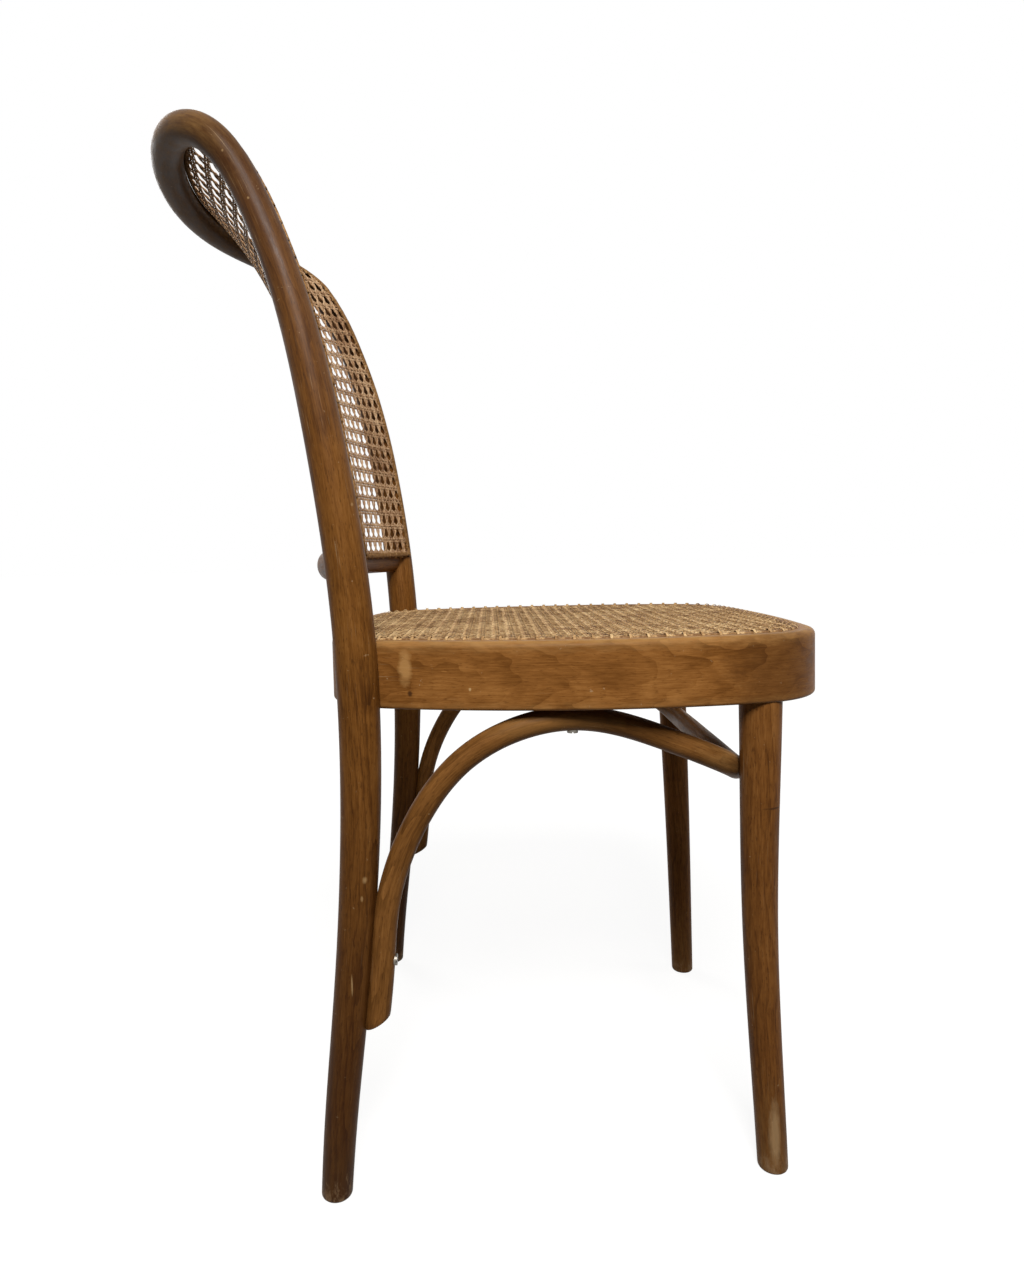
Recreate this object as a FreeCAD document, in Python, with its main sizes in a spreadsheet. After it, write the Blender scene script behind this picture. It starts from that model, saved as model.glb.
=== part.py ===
# Bentwood dining chair with a cane seat and a cane back.
# Millimetres. X runs across the chair, the sitter faces -Y, and Z is up from the floor.
import FreeCAD, Part
import math
import os
from FreeCAD import Placement, Rotation, Vector

doc = FreeCAD.newDocument("bentwood_chair")
sheet = doc.addObject("Spreadsheet::Sheet", "sizes")

# Driving dimensions, in millimetres and degrees
sizes = {
    # seat ring: its plan is four wide arcs joined by corner arcs
    "seat_height": 455.0,
    "ring_height": 55.2,
    "ring_wall": 31.0,
    "ring_half_width": 213.0,
    "ring_widest_y": -110.0,
    "ring_front_y": -318.6,
    "ring_rear_y": 116.0,
    "ring_front_radius": 1250.0,
    "ring_side_radius": 600.0,
    "ring_rear_radius": 900.0,
    "ring_front_corner": 82.5,
    "ring_rear_corner": 76.0,
    "ring_top_round": 5.5,
    "ring_bottom_round": 3.0,
    # cane: the woven sheet, its binding strip and the gaps of the weave
    "cane_thickness": 1.6,
    "seat_cane_inset": 14.0,
    "binding_width": 5.0,
    "binding_thickness": 1.3,
    "weave_pitch": 23.0,
    "weave_gap": 14.0,
    "weave_edge": 3.0,
    # back hoop: one rod from foot to crown and down to the other foot
    "hoop_foot_y": 103.5,
    "hoop_foot_half_width": 203.5,
    "hoop_knee_half_width": 199.5,
    "hoop_seat_half_width": 194.0,
    "hoop_chest_half_width": 203.0,
    "hoop_shoulder_half_width": 194.5,
    "hoop_foot_lean": -3.8,
    "hoop_shin_lean": -6.5,
    "hoop_knee_lean": -4.2,
    "hoop_thigh_lean": 0.9,
    "hoop_waist_lean": 6.8,
    "hoop_chest_lean": 11.7,
    "hoop_neck_lean": 20.9,
    "hoop_shoulder_lean": 29.4,
    "hoop_corner_lean": 64.5,
    "hoop_crown_lean": 102.5,
    "hoop_shoulder_length": 862.5,
    "hoop_length": 962.5,
    "hoop_foot_diameter": 25.6,
    "hoop_shin_diameter": 30.2,
    "hoop_seat_diameter": 34.5,
    "hoop_chest_diameter": 31.0,
    "hoop_neck_diameter": 26.0,
    "hoop_crown_diameter": 28.0,
    "foot_round": 3.0,
    # lower back rail
    "rail_z": 516.5,
    "rail_height": 26.0,
    "rail_depth": 20.0,
    "rail_bow": 43.0,
    "rail_tenon_diameter": 12.0,
    "rail_tenon_length": 14.0,
    # cane back: a hollow sheet between the stiles, the rail and the crown
    "back_lean": 22.0,
    "back_hollow_middle": 46.0,
    "back_hollow_shoulder": 52.0,
    "back_cane_gap": 0.05,
    "back_cane_bed": 1.2,
    "back_cane_above_rail": 4.0,
    "back_cane_room": 12.0,
    # front legs
    "leg_foot_x": 171.5,
    "leg_calf_x": 161.5,
    "leg_top_x": 176.0,
    "leg_foot_y": -262.0,
    "leg_calf_y": -255.5,
    "leg_top_y": -252.0,
    "leg_foot_diameter": 24.8,
    "leg_calf_diameter": 28.7,
    "leg_top_diameter": 34.2,
    "leg_calf_z": 200.0,
    "leg_tenon_diameter": 20.0,
    "leg_tenon_length": 40.0,
    # brace: one rod from a rear leg over an arch, behind the front legs and back
    "brace_diameter": 20.0,
    "brace_end_z": 144.0,
    "brace_end_slant": 28.0,
    "brace_seam_z": 236.0,
    "brace_haunch_y": 30.0,
    "brace_haunch_z": 309.0,
    "brace_shoulder_y": -11.0,
    "brace_shoulder_z": 359.5,
    "brace_crest_y": -88.0,
    "brace_slope_y": -170.2,
    "brace_slope_z": 370.0,
    "brace_cross_y": -245.7,
    "brace_cross_z": 331.1,
    "brace_corner": 48.0,
    "brace_crest_x": 191.0,
    "brace_side_x": 171.5,
    "brace_bite": 1.5,
    # corner blocks, glued inside the ring beside the front legs
    "block_height": 40.0,
    "block_depth": 38.0,
    "block_length": 130.0,
    "block_below_cane": 8.0,
    # fasteners
    "screw_diameter": 4.5,
    "screw_head_diameter": 9.0,
    "screw_head_height": 2.6,
    "screw_slot": 1.1,
    "screw_seat_depth": 1.0,
    "brace_screw_length": 31.0,
    "brace_foot_screw_z": 196.0,
    "brace_crest_screw_y": -98.0,
    "stile_screw_diameter": 6.0,
    "stile_screw_head_diameter": 11.0,
    "stile_screw_head_height": 3.4,
    "stile_screw_length": 46.0,
    "stile_screw_spacing": 26.0,
    "washer_diameter": 17.0,
    "washer_thickness": 1.5,
    "washer_seat_depth": 0.9,
    "block_screw_length": 50.0,
    "block_screw_spacing": 30.0,
    # clearances
    "fit_gap": 0.1,
    "seat_gap": 0.2,
    "seat_reach": 8.0,
}
for row, (name, value) in enumerate(sizes.items(), start=1):
    sheet.set("A%d" % row, name)
    sheet.set("B%d" % row, str(value))
    sheet.setAlias("B%d" % row, name)
doc.recompute()


def size(name):
    return float(sheet.get(name))


# Boxes that cut a rod's end off reach this far past it
cutter_reach = 600.0


# General helpers

def smooth_value(stations, values, t):
    """A smooth curve through the values given at the stations."""
    t = min(max(t, stations[0]), stations[-1])
    spans = [b - a for a, b in zip(stations, stations[1:])]
    slopes = [(b - a) / s for a, b, s in zip(values, values[1:], spans)]
    ends = [slopes[0]]
    for i in range(1, len(values) - 1):
        both = spans[i] + spans[i - 1]
        ends.append((slopes[i - 1] * spans[i] + slopes[i] * spans[i - 1]) / both)
    ends.append(slopes[-1])
    i = 0
    while i < len(spans) - 1 and t > stations[i + 1]:
        i += 1
    u = (t - stations[i]) / spans[i]
    near = values[i] * (1 + 2 * u) * (1 - u) ** 2 + ends[i] * spans[i] * u * (1 - u) ** 2
    far = values[i + 1] * u * u * (3 - 2 * u) + ends[i + 1] * spans[i] * u * u * (u - 1)
    return near + far


def unit(vector):
    return Vector(vector).normalize()


def other_side(vector):
    return Vector(-vector.x, vector.y, vector.z)


def mirrored(shape):
    return shape.mirror(Vector(0, 0, 0), Vector(1, 0, 0))


def section(centre, along, sideways, radius):
    """A round section of a rod, with its seam towards the given side."""
    side = unit(sideways - along * sideways.dot(along))
    circle = Part.Circle(Vector(0, 0, 0), Vector(0, 0, 1), radius).toShape()
    circle.Placement = Placement(centre, Rotation(side, along.cross(side), along, "ZXY"))
    return Part.Wire([circle])


def arc(centre, radius, start, end):
    middle = centre + unit((start + end) * 0.5 - centre) * radius
    return Part.Arc(start, middle, end).toShape()


def turned_to(direction):
    """The rotation that turns +Z to a direction."""
    return Rotation(Vector(0, 0, 1), direction)


def rod(start, direction, length, radius):
    return Part.makeCylinder(radius, length, start, direction)


def curve_through(points):
    curve = Part.BSplineCurve()
    curve.interpolate(points)
    return curve


def feature(label, shape):
    item = doc.addObject("Part::Feature", label)
    item.Label = label
    item.Shape = shape
    return item


def box_below(z):
    """Everything under a level, far past the chair's sides."""
    wide = 2 * cutter_reach
    corner = Vector(-cutter_reach, -cutter_reach, z - cutter_reach)
    return Part.makeBox(wide, wide, cutter_reach, corner)


def cut_all(shape, tools):
    for tool in tools:
        shape = shape.cut(tool)
    return shape


def only_solid(shape):
    """The largest solid of a cut shape."""
    return max(shape.Solids, key=lambda solid: solid.Volume)


# Seat ring plan

def circle_crossing(first, first_radius, second, second_radius, forwards):
    """Where two plan circles cross, on the front or the rear side."""
    apart = second - first
    distance = apart.Length
    along = (distance ** 2 + first_radius ** 2 - second_radius ** 2) / (2 * distance)
    across = math.sqrt(first_radius ** 2 - along ** 2)
    way = unit(apart)
    square = Vector(-way.y, way.x, 0)
    ends = [first + way * along + square * across, first + way * along - square * across]
    ends.sort(key=lambda point: point.y)
    return ends[0] if forwards else ends[1]


ring_top = size("seat_height")
ring_bottom = ring_top - size("ring_height")
front_centre = Vector(0, size("ring_front_y") + size("ring_front_radius"), 0)
rear_centre = Vector(0, size("ring_rear_y") - size("ring_rear_radius"), 0)
side_centre = Vector(size("ring_half_width") - size("ring_side_radius"), size("ring_widest_y"), 0)
front_corner = circle_crossing(
    front_centre, size("ring_front_radius") - size("ring_front_corner"),
    side_centre, size("ring_side_radius") - size("ring_front_corner"), True)
rear_corner = circle_crossing(
    rear_centre, size("ring_rear_radius") - size("ring_rear_corner"),
    side_centre, size("ring_side_radius") - size("ring_rear_corner"), False)


def plan_wire(inset, z):
    """The ring's plan, drawn inside its outer face by the inset."""
    up = Vector(0, 0, z)
    front_radius = size("ring_front_radius") - inset
    side_radius = size("ring_side_radius") - inset
    rear_radius = size("ring_rear_radius") - inset
    front_end = front_centre + unit(front_corner - front_centre) * front_radius + up
    side_front = side_centre + unit(front_corner - side_centre) * side_radius + up
    side_rear = side_centre + unit(rear_corner - side_centre) * side_radius + up
    rear_end = rear_centre + unit(rear_corner - rear_centre) * rear_radius + up
    left = [other_side(point) for point in (front_end, side_front, side_rear, rear_end)]
    edges = [
        arc(front_centre + up, front_radius, left[0], front_end),
        arc(front_corner + up, size("ring_front_corner") - inset, front_end, side_front),
        arc(side_centre + up, side_radius, side_front, side_rear),
        arc(rear_corner + up, size("ring_rear_corner") - inset, side_rear, rear_end),
        arc(rear_centre + up, rear_radius, rear_end, left[3]),
        arc(other_side(rear_corner) + up, size("ring_rear_corner") - inset, left[3], left[2]),
        arc(other_side(side_centre) + up, side_radius, left[2], left[1]),
        arc(other_side(front_corner) + up, size("ring_front_corner") - inset, left[1], left[0]),
    ]
    return Part.Wire(edges)


def plan_prism(inset, bottom, top):
    return Part.Face(plan_wire(inset, bottom)).extrude(Vector(0, 0, top - bottom))


def edges_at(shape, z):
    return [edge for edge in shape.Edges
            if abs(edge.BoundBox.ZMin - z) < 0.01 and abs(edge.BoundBox.ZMax - z) < 0.01]


# Back hoop path

hoop_stations = [0.0, 100.0, 250.0, 400.0, 550.0, 680.0, 780.0, 840.0, 900.0, size("hoop_length")]
hoop_leans = [size("hoop_%s_lean" % place) for place in (
    "foot", "shin", "knee", "thigh", "waist", "chest", "neck", "shoulder", "corner", "crown")]
width_stations = [0.0, 220.0, 455.0, 650.0, 900.0]
half_widths = [size("hoop_%s_half_width" % place) for place in (
    "foot", "knee", "seat", "chest", "shoulder")]
thick_stations = [0.0, 200.0, 440.0, 640.0, 800.0, size("hoop_length")]
thicknesses = [size("hoop_%s_diameter" % place) for place in (
    "foot", "shin", "seat", "chest", "neck", "crown")]
profile_step = 2.0
foot_overrun = 14.0
place_reach = 0.004


def hoop_lean(length):
    return math.radians(smooth_value(hoop_stations, hoop_leans, length))


def hoop_radius(length):
    return 0.5 * smooth_value(thick_stations, thicknesses, length)


def side_profile():
    """The rod's side view, added up in short steps of its lean from the foot."""
    points = [(size("hoop_foot_y"), 0.0)]
    for i in range(math.ceil(size("hoop_length") / profile_step)):
        lean = hoop_lean((i + 0.5) * profile_step)
        y, z = points[-1]
        points.append((y + profile_step * math.sin(lean), z + profile_step * math.cos(lean)))
    return points


profile = side_profile()


def side_point(length):
    if length < 0:
        lean = hoop_lean(0)
        return profile[0][0] + length * math.sin(lean), length * math.cos(lean)
    i = min(int(length / profile_step), len(profile) - 2)
    u = length / profile_step - i
    (y0, z0), (y1, z1) = profile[i], profile[i + 1]
    return y0 + u * (y1 - y0), z0 + u * (z1 - z0)


def hoop_length_at(place):
    """0 is the crown, 1 the shoulder and 2 the foot; negative places are on the other side."""
    shoulder = size("hoop_shoulder_length")
    if abs(place) <= 1:
        return shoulder + (size("hoop_length") - shoulder) * math.cos(abs(place) * math.pi / 2)
    return shoulder - (abs(place) - 1) * (shoulder + foot_overrun)


def hoop_point(place):
    length = hoop_length_at(place)
    x = smooth_value(width_stations, half_widths, length)
    if abs(place) < 1:
        x *= math.sin(abs(place) * math.pi / 2)
    y, z = side_point(length)
    return Vector(math.copysign(x, place), y, z)


def hoop_direction(place):
    return unit(hoop_point(place + place_reach) - hoop_point(place - place_reach))


def place_at_height(z):
    """The place on the straight part of the hoop at a height above the floor."""
    low, high = 1.0, 2.0
    halvings = 40
    for _ in range(halvings):
        middle = 0.5 * (low + high)
        if hoop_point(middle).z > z:
            low = middle
        else:
            high = middle
    return 0.5 * (low + high)


def stile_centre(z):
    return hoop_point(place_at_height(z))


def stile_radius(z):
    return hoop_radius(hoop_length_at(place_at_height(z)))


def two_halves(wires):
    """A rod lofted through the sections of its left half, which start on the middle plane."""
    left = Part.makeLoft(wires, True, False)
    return left.fuse(mirrored(left)).removeSplitter()


def hoop_rod():
    arch_steps = 9
    stile_steps = 15
    places = [i / arch_steps for i in range(arch_steps)]
    places += [1 + i / stile_steps for i in range(stile_steps + 1)]
    wires = []
    for place in places:
        lean = hoop_lean(hoop_length_at(place))
        front = Vector(0, -math.cos(lean), math.sin(lean))
        radius = hoop_radius(hoop_length_at(place))
        wires.append(section(hoop_point(place), hoop_direction(place), front, radius))
    body = two_halves(wires).cut(box_below(0))
    return body.makeFillet(size("foot_round"), edges_at(body, 0))


# Cane back surface, measured from the plane that looks at the back square on

lean_angle = math.radians(size("back_lean"))
back_out = Vector(0, -math.cos(lean_angle), math.sin(lean_angle))
back_up = Vector(0, math.sin(lean_angle), math.cos(lean_angle))
drawing_depth = 400.0


def edge_hollow(place):
    """How quickly the sheet falls back from the stiles, per square millimetre of width."""
    share = (hoop_length_at(place) - size("rail_z")) / (size("hoop_shoulder_length") - size("rail_z"))
    share = min(max(share, 0), 1)
    depth = size("rail_bow") + share * (size("back_hollow_shoulder") - size("rail_bow"))
    return depth / size("hoop_chest_half_width") ** 2


def edge_point(place):
    """Where the back of the cane sheet lies on the hoop's front."""
    centre = hoop_point(place)
    along = hoop_direction(place)
    facing = back_out - Vector(1, 0, 0) * (2 * edge_hollow(place) * centre.x)
    facing = unit(facing - along * facing.dot(along))
    return centre + facing * (hoop_radius(hoop_length_at(place)) + size("back_cane_gap"))


def rail_crest():
    """Where the sheet lies on the middle of the rail's front."""
    above = size("back_cane_above_rail")
    depth = 0.5 * size("rail_depth") * math.sqrt(1 - (2 * above / size("rail_height")) ** 2)
    y = stile_centre(size("rail_z")).y + size("rail_bow") - depth + size("back_cane_bed")
    return Vector(0, y, size("rail_z") + above)


edge_steps = 24
bottom_place = place_at_height(size("rail_z") + size("back_cane_above_rail"))
edge_places = [bottom_place * (1 - i / edge_steps) for i in range(edge_steps + 1)]
edges = [edge_point(place) for place in edge_places]
edge_ups = [point.dot(back_up) for point in edges]
edge_depths = [point.dot(back_out) for point in edges]


def middle_of_sheet():
    """Heights and depths of the sheet's middle line, and a little past both of its ends."""
    shoulder = edge_point(1)
    half_way = edge_point(0.5 * (bottom_place + 1))
    crown = edge_point(0)
    low = rail_crest()
    ups = [low.dot(back_up), half_way.dot(back_up), shoulder.dot(back_up), crown.dot(back_up)]
    depths = [
        low.dot(back_out),
        half_way.dot(back_out) - size("back_hollow_middle"),
        shoulder.dot(back_out) - size("back_hollow_shoulder"),
        crown.dot(back_out),
    ]
    past = 40.0
    first = (depths[1] - depths[0]) / (ups[1] - ups[0])
    last = (depths[3] - depths[2]) / (ups[3] - ups[2])
    ups = [ups[0] - past] + ups + [ups[3] + past]
    depths = [depths[0] - past * first] + depths + [depths[3] + past * last]
    return ups, depths


middle_ups, middle_depths = middle_of_sheet()


def middle_depth(up):
    return smooth_value(middle_ups, middle_depths, up)


hollows = [(depth - middle_depth(up)) / point.x ** 2
           for point, up, depth in zip(edges[:-1], edge_ups, edge_depths)]
hollows.append(hollows[-1])


def sheet_point(x, up):
    """A point of the cane sheet's back face."""
    depth = middle_depth(up) + smooth_value(edge_ups, hollows, up) * x * x
    return Vector(x, 0, 0) + back_up * up + back_out * depth


def back_slab(behind, front):
    """The sheet's shape between two depths, wider and taller than the sheet itself."""
    past_sides, past_bottom, past_top = 18.0, 20.0, 14.0
    wide = size("hoop_chest_half_width") + past_sides
    low = edge_ups[0] - past_bottom
    high = edge_ups[-1] + past_top
    columns = 13
    rows = 21
    grid = [[sheet_point(wide * (2 * i / (columns - 1) - 1), low + (high - low) * j / (rows - 1))
             + back_out * behind for j in range(rows)] for i in range(columns)]
    surface = Part.BSplineSurface()
    surface.interpolate(grid)
    return surface.toShape().extrude(back_out * (front - behind))


def on_drawing(point):
    """The point carried to the flat drawing plane behind the back."""
    return point - back_out * (point.dot(back_out) + drawing_depth)


def rim_point(place, inset):
    """A point of the sheet's edge on the drawing plane, moved inwards by the inset."""
    here = on_drawing(edge_point(place))
    before = on_drawing(edge_point(place + place_reach))
    after = on_drawing(edge_point(place - place_reach))
    along = unit(after - before)
    return here + back_out.cross(along) * inset


def back_outline(inset):
    """The sheet's outline on the drawing plane, or with an inset the binding's inner edge."""
    low = bottom_place - inset / (size("hoop_shoulder_length") + foot_overrun)
    side = [rim_point(low * (1 - i / edge_steps), inset) for i in range(edge_steps)]
    crown = rim_point(0, inset)
    rim = curve_through(side + [crown] + [other_side(point) for point in reversed(side)])
    middle = on_drawing(rail_crest()) + back_up * inset
    foot = Part.Arc(other_side(side[0]), middle, side[0])
    return Part.Wire([rim.toShape(), foot.toShape()])


def outwards(wires):
    """A prism from the drawing plane through the back."""
    face = Part.makeFace(wires, "Part::FaceMakerBullseye")
    return face.extrude(back_out * (2 * drawing_depth))


def octagon(centre, right, up):
    """One gap of the weave."""
    radius = 0.5 * size("weave_gap") / math.cos(math.pi / 8)
    corners = []
    for i in range(9):
        turn = math.pi / 8 + i * math.pi / 4
        corners.append(centre + right * (radius * math.cos(turn)) + up * (radius * math.sin(turn)))
    return Part.makePolygon(corners)


def gap_wires(outline, right, up, land):
    """The gaps of the weave that stay the land's width inside the outline."""
    face = Part.Face(outline)
    middle = face.BoundBox.Center
    origin = Vector(0, middle.y, middle.z)
    pitch = size("weave_pitch")
    clear = land + 0.5 * size("weave_gap")
    reach = math.ceil(face.BoundBox.DiagonalLength / pitch / 2)
    wires = []
    for i in range(-reach, reach + 1):
        for j in range(-reach, reach + 1):
            centre = origin + right * (i * pitch) + up * (j * pitch)
            if not face.isInside(centre, 0.01, True):
                continue
            if outline.distToShape(Part.Vertex(centre))[0] > clear:
                wires.append(octagon(centre, right, up))
    return wires


# Brace path

brace_radius = 0.5 * size("brace_diameter")
brace_overrun = 16.0
haunch_spread = 2.0
corner_fall = 0.29


def beside_leg(z):
    """The brace's middle where it lies against the front of a rear leg."""
    centre = stile_centre(z)
    reach = stile_radius(z) + brace_radius - size("brace_bite")
    return centre - Vector(0, reach, 0)


def brace_half():
    crest_z = ring_bottom - brace_radius - size("seat_gap")
    side_x = size("brace_side_x")
    cross_y = size("brace_cross_y")
    cross_z = size("brace_cross_z")
    bend = size("brace_corner")
    fall = size("brace_slope_z") - cross_z
    slanted = math.sqrt(0.5) * bend
    return [
        beside_leg(size("brace_end_z") - brace_overrun),
        beside_leg(0.5 * (size("brace_end_z") + size("brace_seam_z"))),
        beside_leg(size("brace_seam_z")),
        Vector(0.5 * (size("brace_crest_x") + size("hoop_knee_half_width")),
               size("brace_haunch_y"), size("brace_haunch_z")),
        Vector(size("brace_crest_x") + haunch_spread, size("brace_shoulder_y"),
               size("brace_shoulder_z")),
        Vector(size("brace_crest_x"), size("brace_crest_y"), crest_z),
        Vector(side_x, size("brace_slope_y"), size("brace_slope_z")),
        Vector(side_x - bend + slanted, cross_y + bend - slanted, cross_z + corner_fall * fall),
        Vector(side_x - bend, cross_y, cross_z),
        Vector(0.5 * (side_x - bend), cross_y, cross_z),
    ]


def brace_curve():
    half = brace_half()
    middle = Vector(0, size("brace_cross_y"), size("brace_cross_z"))
    return curve_through(half + [middle] + [other_side(point) for point in reversed(half)])


def brace_rod():
    curve = brace_curve()
    middle = 0.5 * (curve.FirstParameter + curve.LastParameter)
    steps = 32
    wires = []
    for i in range(steps + 1):
        at = middle + (curve.FirstParameter - middle) * i / steps
        point = curve.value(at)
        along = unit(curve.tangent(at)[0]) * -1
        outward = Vector(point.x, point.y - size("brace_crest_y"), 0)
        wires.append(section(point, along, outward, brace_radius))
    return two_halves(wires)


# Front leg path

def leg_centre(z):
    heights = [0.0, size("leg_calf_z"), ring_bottom]
    x = smooth_value(heights, [size("leg_%s_x" % place) for place in ("foot", "calf", "top")], z)
    y = smooth_value(heights, [size("leg_%s_y" % place) for place in ("foot", "calf", "top")], z)
    return Vector(x, y, z)


def leg_radius(z):
    heights = [0.0, size("leg_calf_z"), ring_bottom]
    widths = [size("leg_%s_diameter" % place) for place in ("foot", "calf", "top")]
    return 0.5 * smooth_value(heights, widths, z)


def leg_solid():
    steps = 8
    wires = []
    for i in range(steps + 1):
        z = ring_bottom * i / steps
        circle = Part.Circle(leg_centre(z), Vector(0, 0, 1), leg_radius(z)).toShape()
        wires.append(Part.Wire([circle]))
    leg = Part.makeLoft(wires, True, False)
    leg = leg.makeFillet(size("foot_round"), edges_at(leg, 0))
    top = leg_centre(ring_bottom)
    sunk = 5.0
    tenon = rod(top - Vector(0, 0, sunk), Vector(0, 0, 1), size("leg_tenon_length") + sunk,
                0.5 * size("leg_tenon_diameter"))
    return leg.fuse(tenon).removeSplitter()


# Fasteners

def bound(kind, name, placement, **expressions):
    item = doc.addObject(kind, name)
    for key, expression in expressions.items():
        item.setExpression(key, expression)
    item.Placement = placement
    return item


def screw(name, start, direction, length, prefix):
    """A slotted screw whose head rests at the start."""
    place = Placement(start, turned_to(direction))
    back = Placement(start - direction * size(prefix + "_head_height"), turned_to(direction))
    shank = bound("Part::Cylinder", name + "_shank", place,
                  Radius="sizes.%s_diameter / 2" % prefix, Height="sizes." + length)
    head = bound("Part::Cylinder", name + "_head", back,
                 Radius="sizes.%s_head_diameter / 2" % prefix, Height="sizes.%s_head_height" % prefix)
    whole = doc.addObject("Part::Fuse", name + "_blank")
    whole.Base = head
    whole.Tool = shank
    corner = Vector(-0.5 * size(prefix + "_head_diameter"), -0.5 * size("screw_slot"), 0)
    slot = bound("Part::Box", name + "_slot", back.multiply(Placement(corner, Rotation())),
                 Length="sizes.%s_head_diameter" % prefix, Width="sizes.screw_slot",
                 Height="sizes.screw_slot")
    made = doc.addObject("Part::Cut", name)
    made.Base = whole
    made.Tool = slot
    return made


def group(name, members):
    item = doc.addObject("Part::Compound", name)
    item.Label = name
    item.Links = members
    return item


def screw_group(name, lines, length, prefix):
    return group(name, [screw("%s_%d" % (name, number), start, way, length, prefix)
                        for number, (start, way) in enumerate(lines, start=1)])


def washer_group(name, lines):
    members = []
    for number, (start, way) in enumerate(lines, start=1):
        place = Placement(start, turned_to(way))
        disc = bound("Part::Cylinder", "%s_%d_disc" % (name, number), place,
                     Radius="sizes.washer_diameter / 2", Height="sizes.washer_thickness")
        hole = bound("Part::Cylinder", "%s_%d_hole" % (name, number), place,
                     Radius="sizes.stile_screw_diameter / 2 + sizes.fit_gap",
                     Height="sizes.washer_thickness")
        washer = doc.addObject("Part::Cut", "%s_%d" % (name, number))
        washer.Base = disc
        washer.Tool = hole
        members.append(washer)
    return group(name, members)


def flat(vector):
    return Vector(vector.x, vector.y, 0)


def to_side(vector, side):
    return Vector(side * vector.x, vector.y, vector.z)


# Where each kind of screw starts, and which way it points, on the left side

stile_heights = [ring_bottom + 0.5 * size("ring_height") + way * 0.5 * size("stile_screw_spacing")
                 for way in (-1, 1)]
cane_bed = ring_top - size("cane_thickness")
block_way = unit(unit(front_corner - front_centre) + unit(front_corner - side_centre))
block_across = Vector(-block_way.y, block_way.x, 0)
block_face = size("ring_front_corner") - size("ring_wall") - size("block_depth")
block_bottom = cane_bed - size("block_below_cane") - size("block_height")
brace_middle = brace_curve().toShape()


def stile_screw_line(z):
    """From inside the ring, through a washer, along the corner's radius into the rear leg."""
    corner = rear_corner + Vector(0, 0, z)
    way = unit(flat(stile_centre(z) - corner))
    inner = size("ring_rear_corner") - size("ring_wall")
    start = inner + size("washer_seat_depth") - size("washer_thickness")
    return corner + way * start, way


def block_screw_line(across):
    """From the corner block's face into the ring, beside the leg's tenon."""
    height = Vector(0, 0, block_bottom + 0.5 * size("block_height"))
    return front_corner + block_way * block_face + block_across * across + height, block_way


def brace_foot_line():
    centre = beside_leg(size("brace_foot_screw_z"))
    return centre - Vector(0, brace_radius - size("screw_seat_depth"), 0), Vector(0, 1, 0)


def nearest_to(first, second):
    """The points on the left side where two lines pass closest."""
    return max(first.distToShape(second)[1], key=lambda pair: pair[0].x)


def brace_crest_line():
    top = Vector(size("brace_crest_x"), size("brace_crest_screw_y"), ring_bottom)
    upright = Part.LineSegment(top - Vector(0, 0, size("ring_height")), top).toShape()
    near = nearest_to(brace_middle, upright)[0]
    return near - Vector(0, 0, brace_radius - size("screw_seat_depth")), Vector(0, 0, 1)


def brace_corner_line():
    """Through the brace's corner into the front leg, square to both."""
    low = leg_centre(size("brace_cross_z") - brace_radius)
    high = leg_centre(size("brace_cross_z") + 2 * brace_radius)
    near, far = nearest_to(brace_middle, Part.LineSegment(low, high).toShape())
    way = unit(far - near)
    return near - way * (brace_radius - size("screw_seat_depth")), way


def both(lines):
    """The lines of the left side, then their mirror images."""
    return [(to_side(start, side), to_side(way, side)) for side in (1, -1) for start, way in lines]


stile_lines = both([stile_screw_line(z) for z in stile_heights])
block_lines = both([block_screw_line(way * 0.5 * size("block_screw_spacing")) for way in (-1, 1)])
foot_lines = both([brace_foot_line()])
crest_lines = both([brace_crest_line()])
corner_lines = both([brace_corner_line()])


def bores(lines, diameter, length):
    radius = 0.5 * diameter + size("fit_gap")
    return [rod(start, way, length + size("fit_gap"), radius) for start, way in lines]


def seats(lines, diameter, depth):
    """Flat seats for heads and washers, cut where the wood is round."""
    radius = 0.5 * diameter + size("fit_gap")
    return [rod(start - way * size("seat_reach"), way, size("seat_reach") + depth, radius)
            for start, way in lines]


foot_bores = bores(foot_lines, size("screw_diameter"), size("brace_screw_length"))
crest_bores = bores(crest_lines, size("screw_diameter"), size("brace_screw_length"))
corner_bores = bores(corner_lines, size("screw_diameter"), size("brace_screw_length"))
block_bores = bores(block_lines, size("screw_diameter"), size("block_screw_length"))
stile_bores = bores(stile_lines, size("stile_screw_diameter"), size("stile_screw_length"))

# Seat ring
ring_outside = plan_prism(0, ring_bottom, ring_top)
ring_outside = ring_outside.makeFillet(size("ring_top_round"), edges_at(ring_outside, ring_top))
ring_outside = ring_outside.makeFillet(size("ring_bottom_round"), edges_at(ring_outside, ring_bottom))
ring_inside = plan_prism(size("ring_wall"), ring_bottom, ring_top)
leg_tops = [to_side(leg_centre(ring_bottom), side) for side in (1, -1)]
tenon_bores = [rod(top, Vector(0, 0, 1), size("leg_tenon_length") + size("fit_gap"),
                   0.5 * size("leg_tenon_diameter") + size("fit_gap")) for top in leg_tops]
washer_seats = seats(stile_lines, size("washer_diameter"), size("washer_thickness"))
ring = ring_outside.cut(ring_inside)
ring = ring.cut(plan_prism(size("seat_cane_inset"), cane_bed, ring_top))
ring = cut_all(ring, washer_seats + stile_bores + block_bores + crest_bores + tenon_bores)

# Front legs
legs = {"front_leg_left": leg_solid()}
legs["front_leg_right"] = mirrored(legs["front_leg_left"])
leg_pair = list(legs.values())
for name in legs:
    legs[name] = cut_all(legs[name], corner_bores)

# Back hoop, before what is let into it
hoop = hoop_rod()

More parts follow.
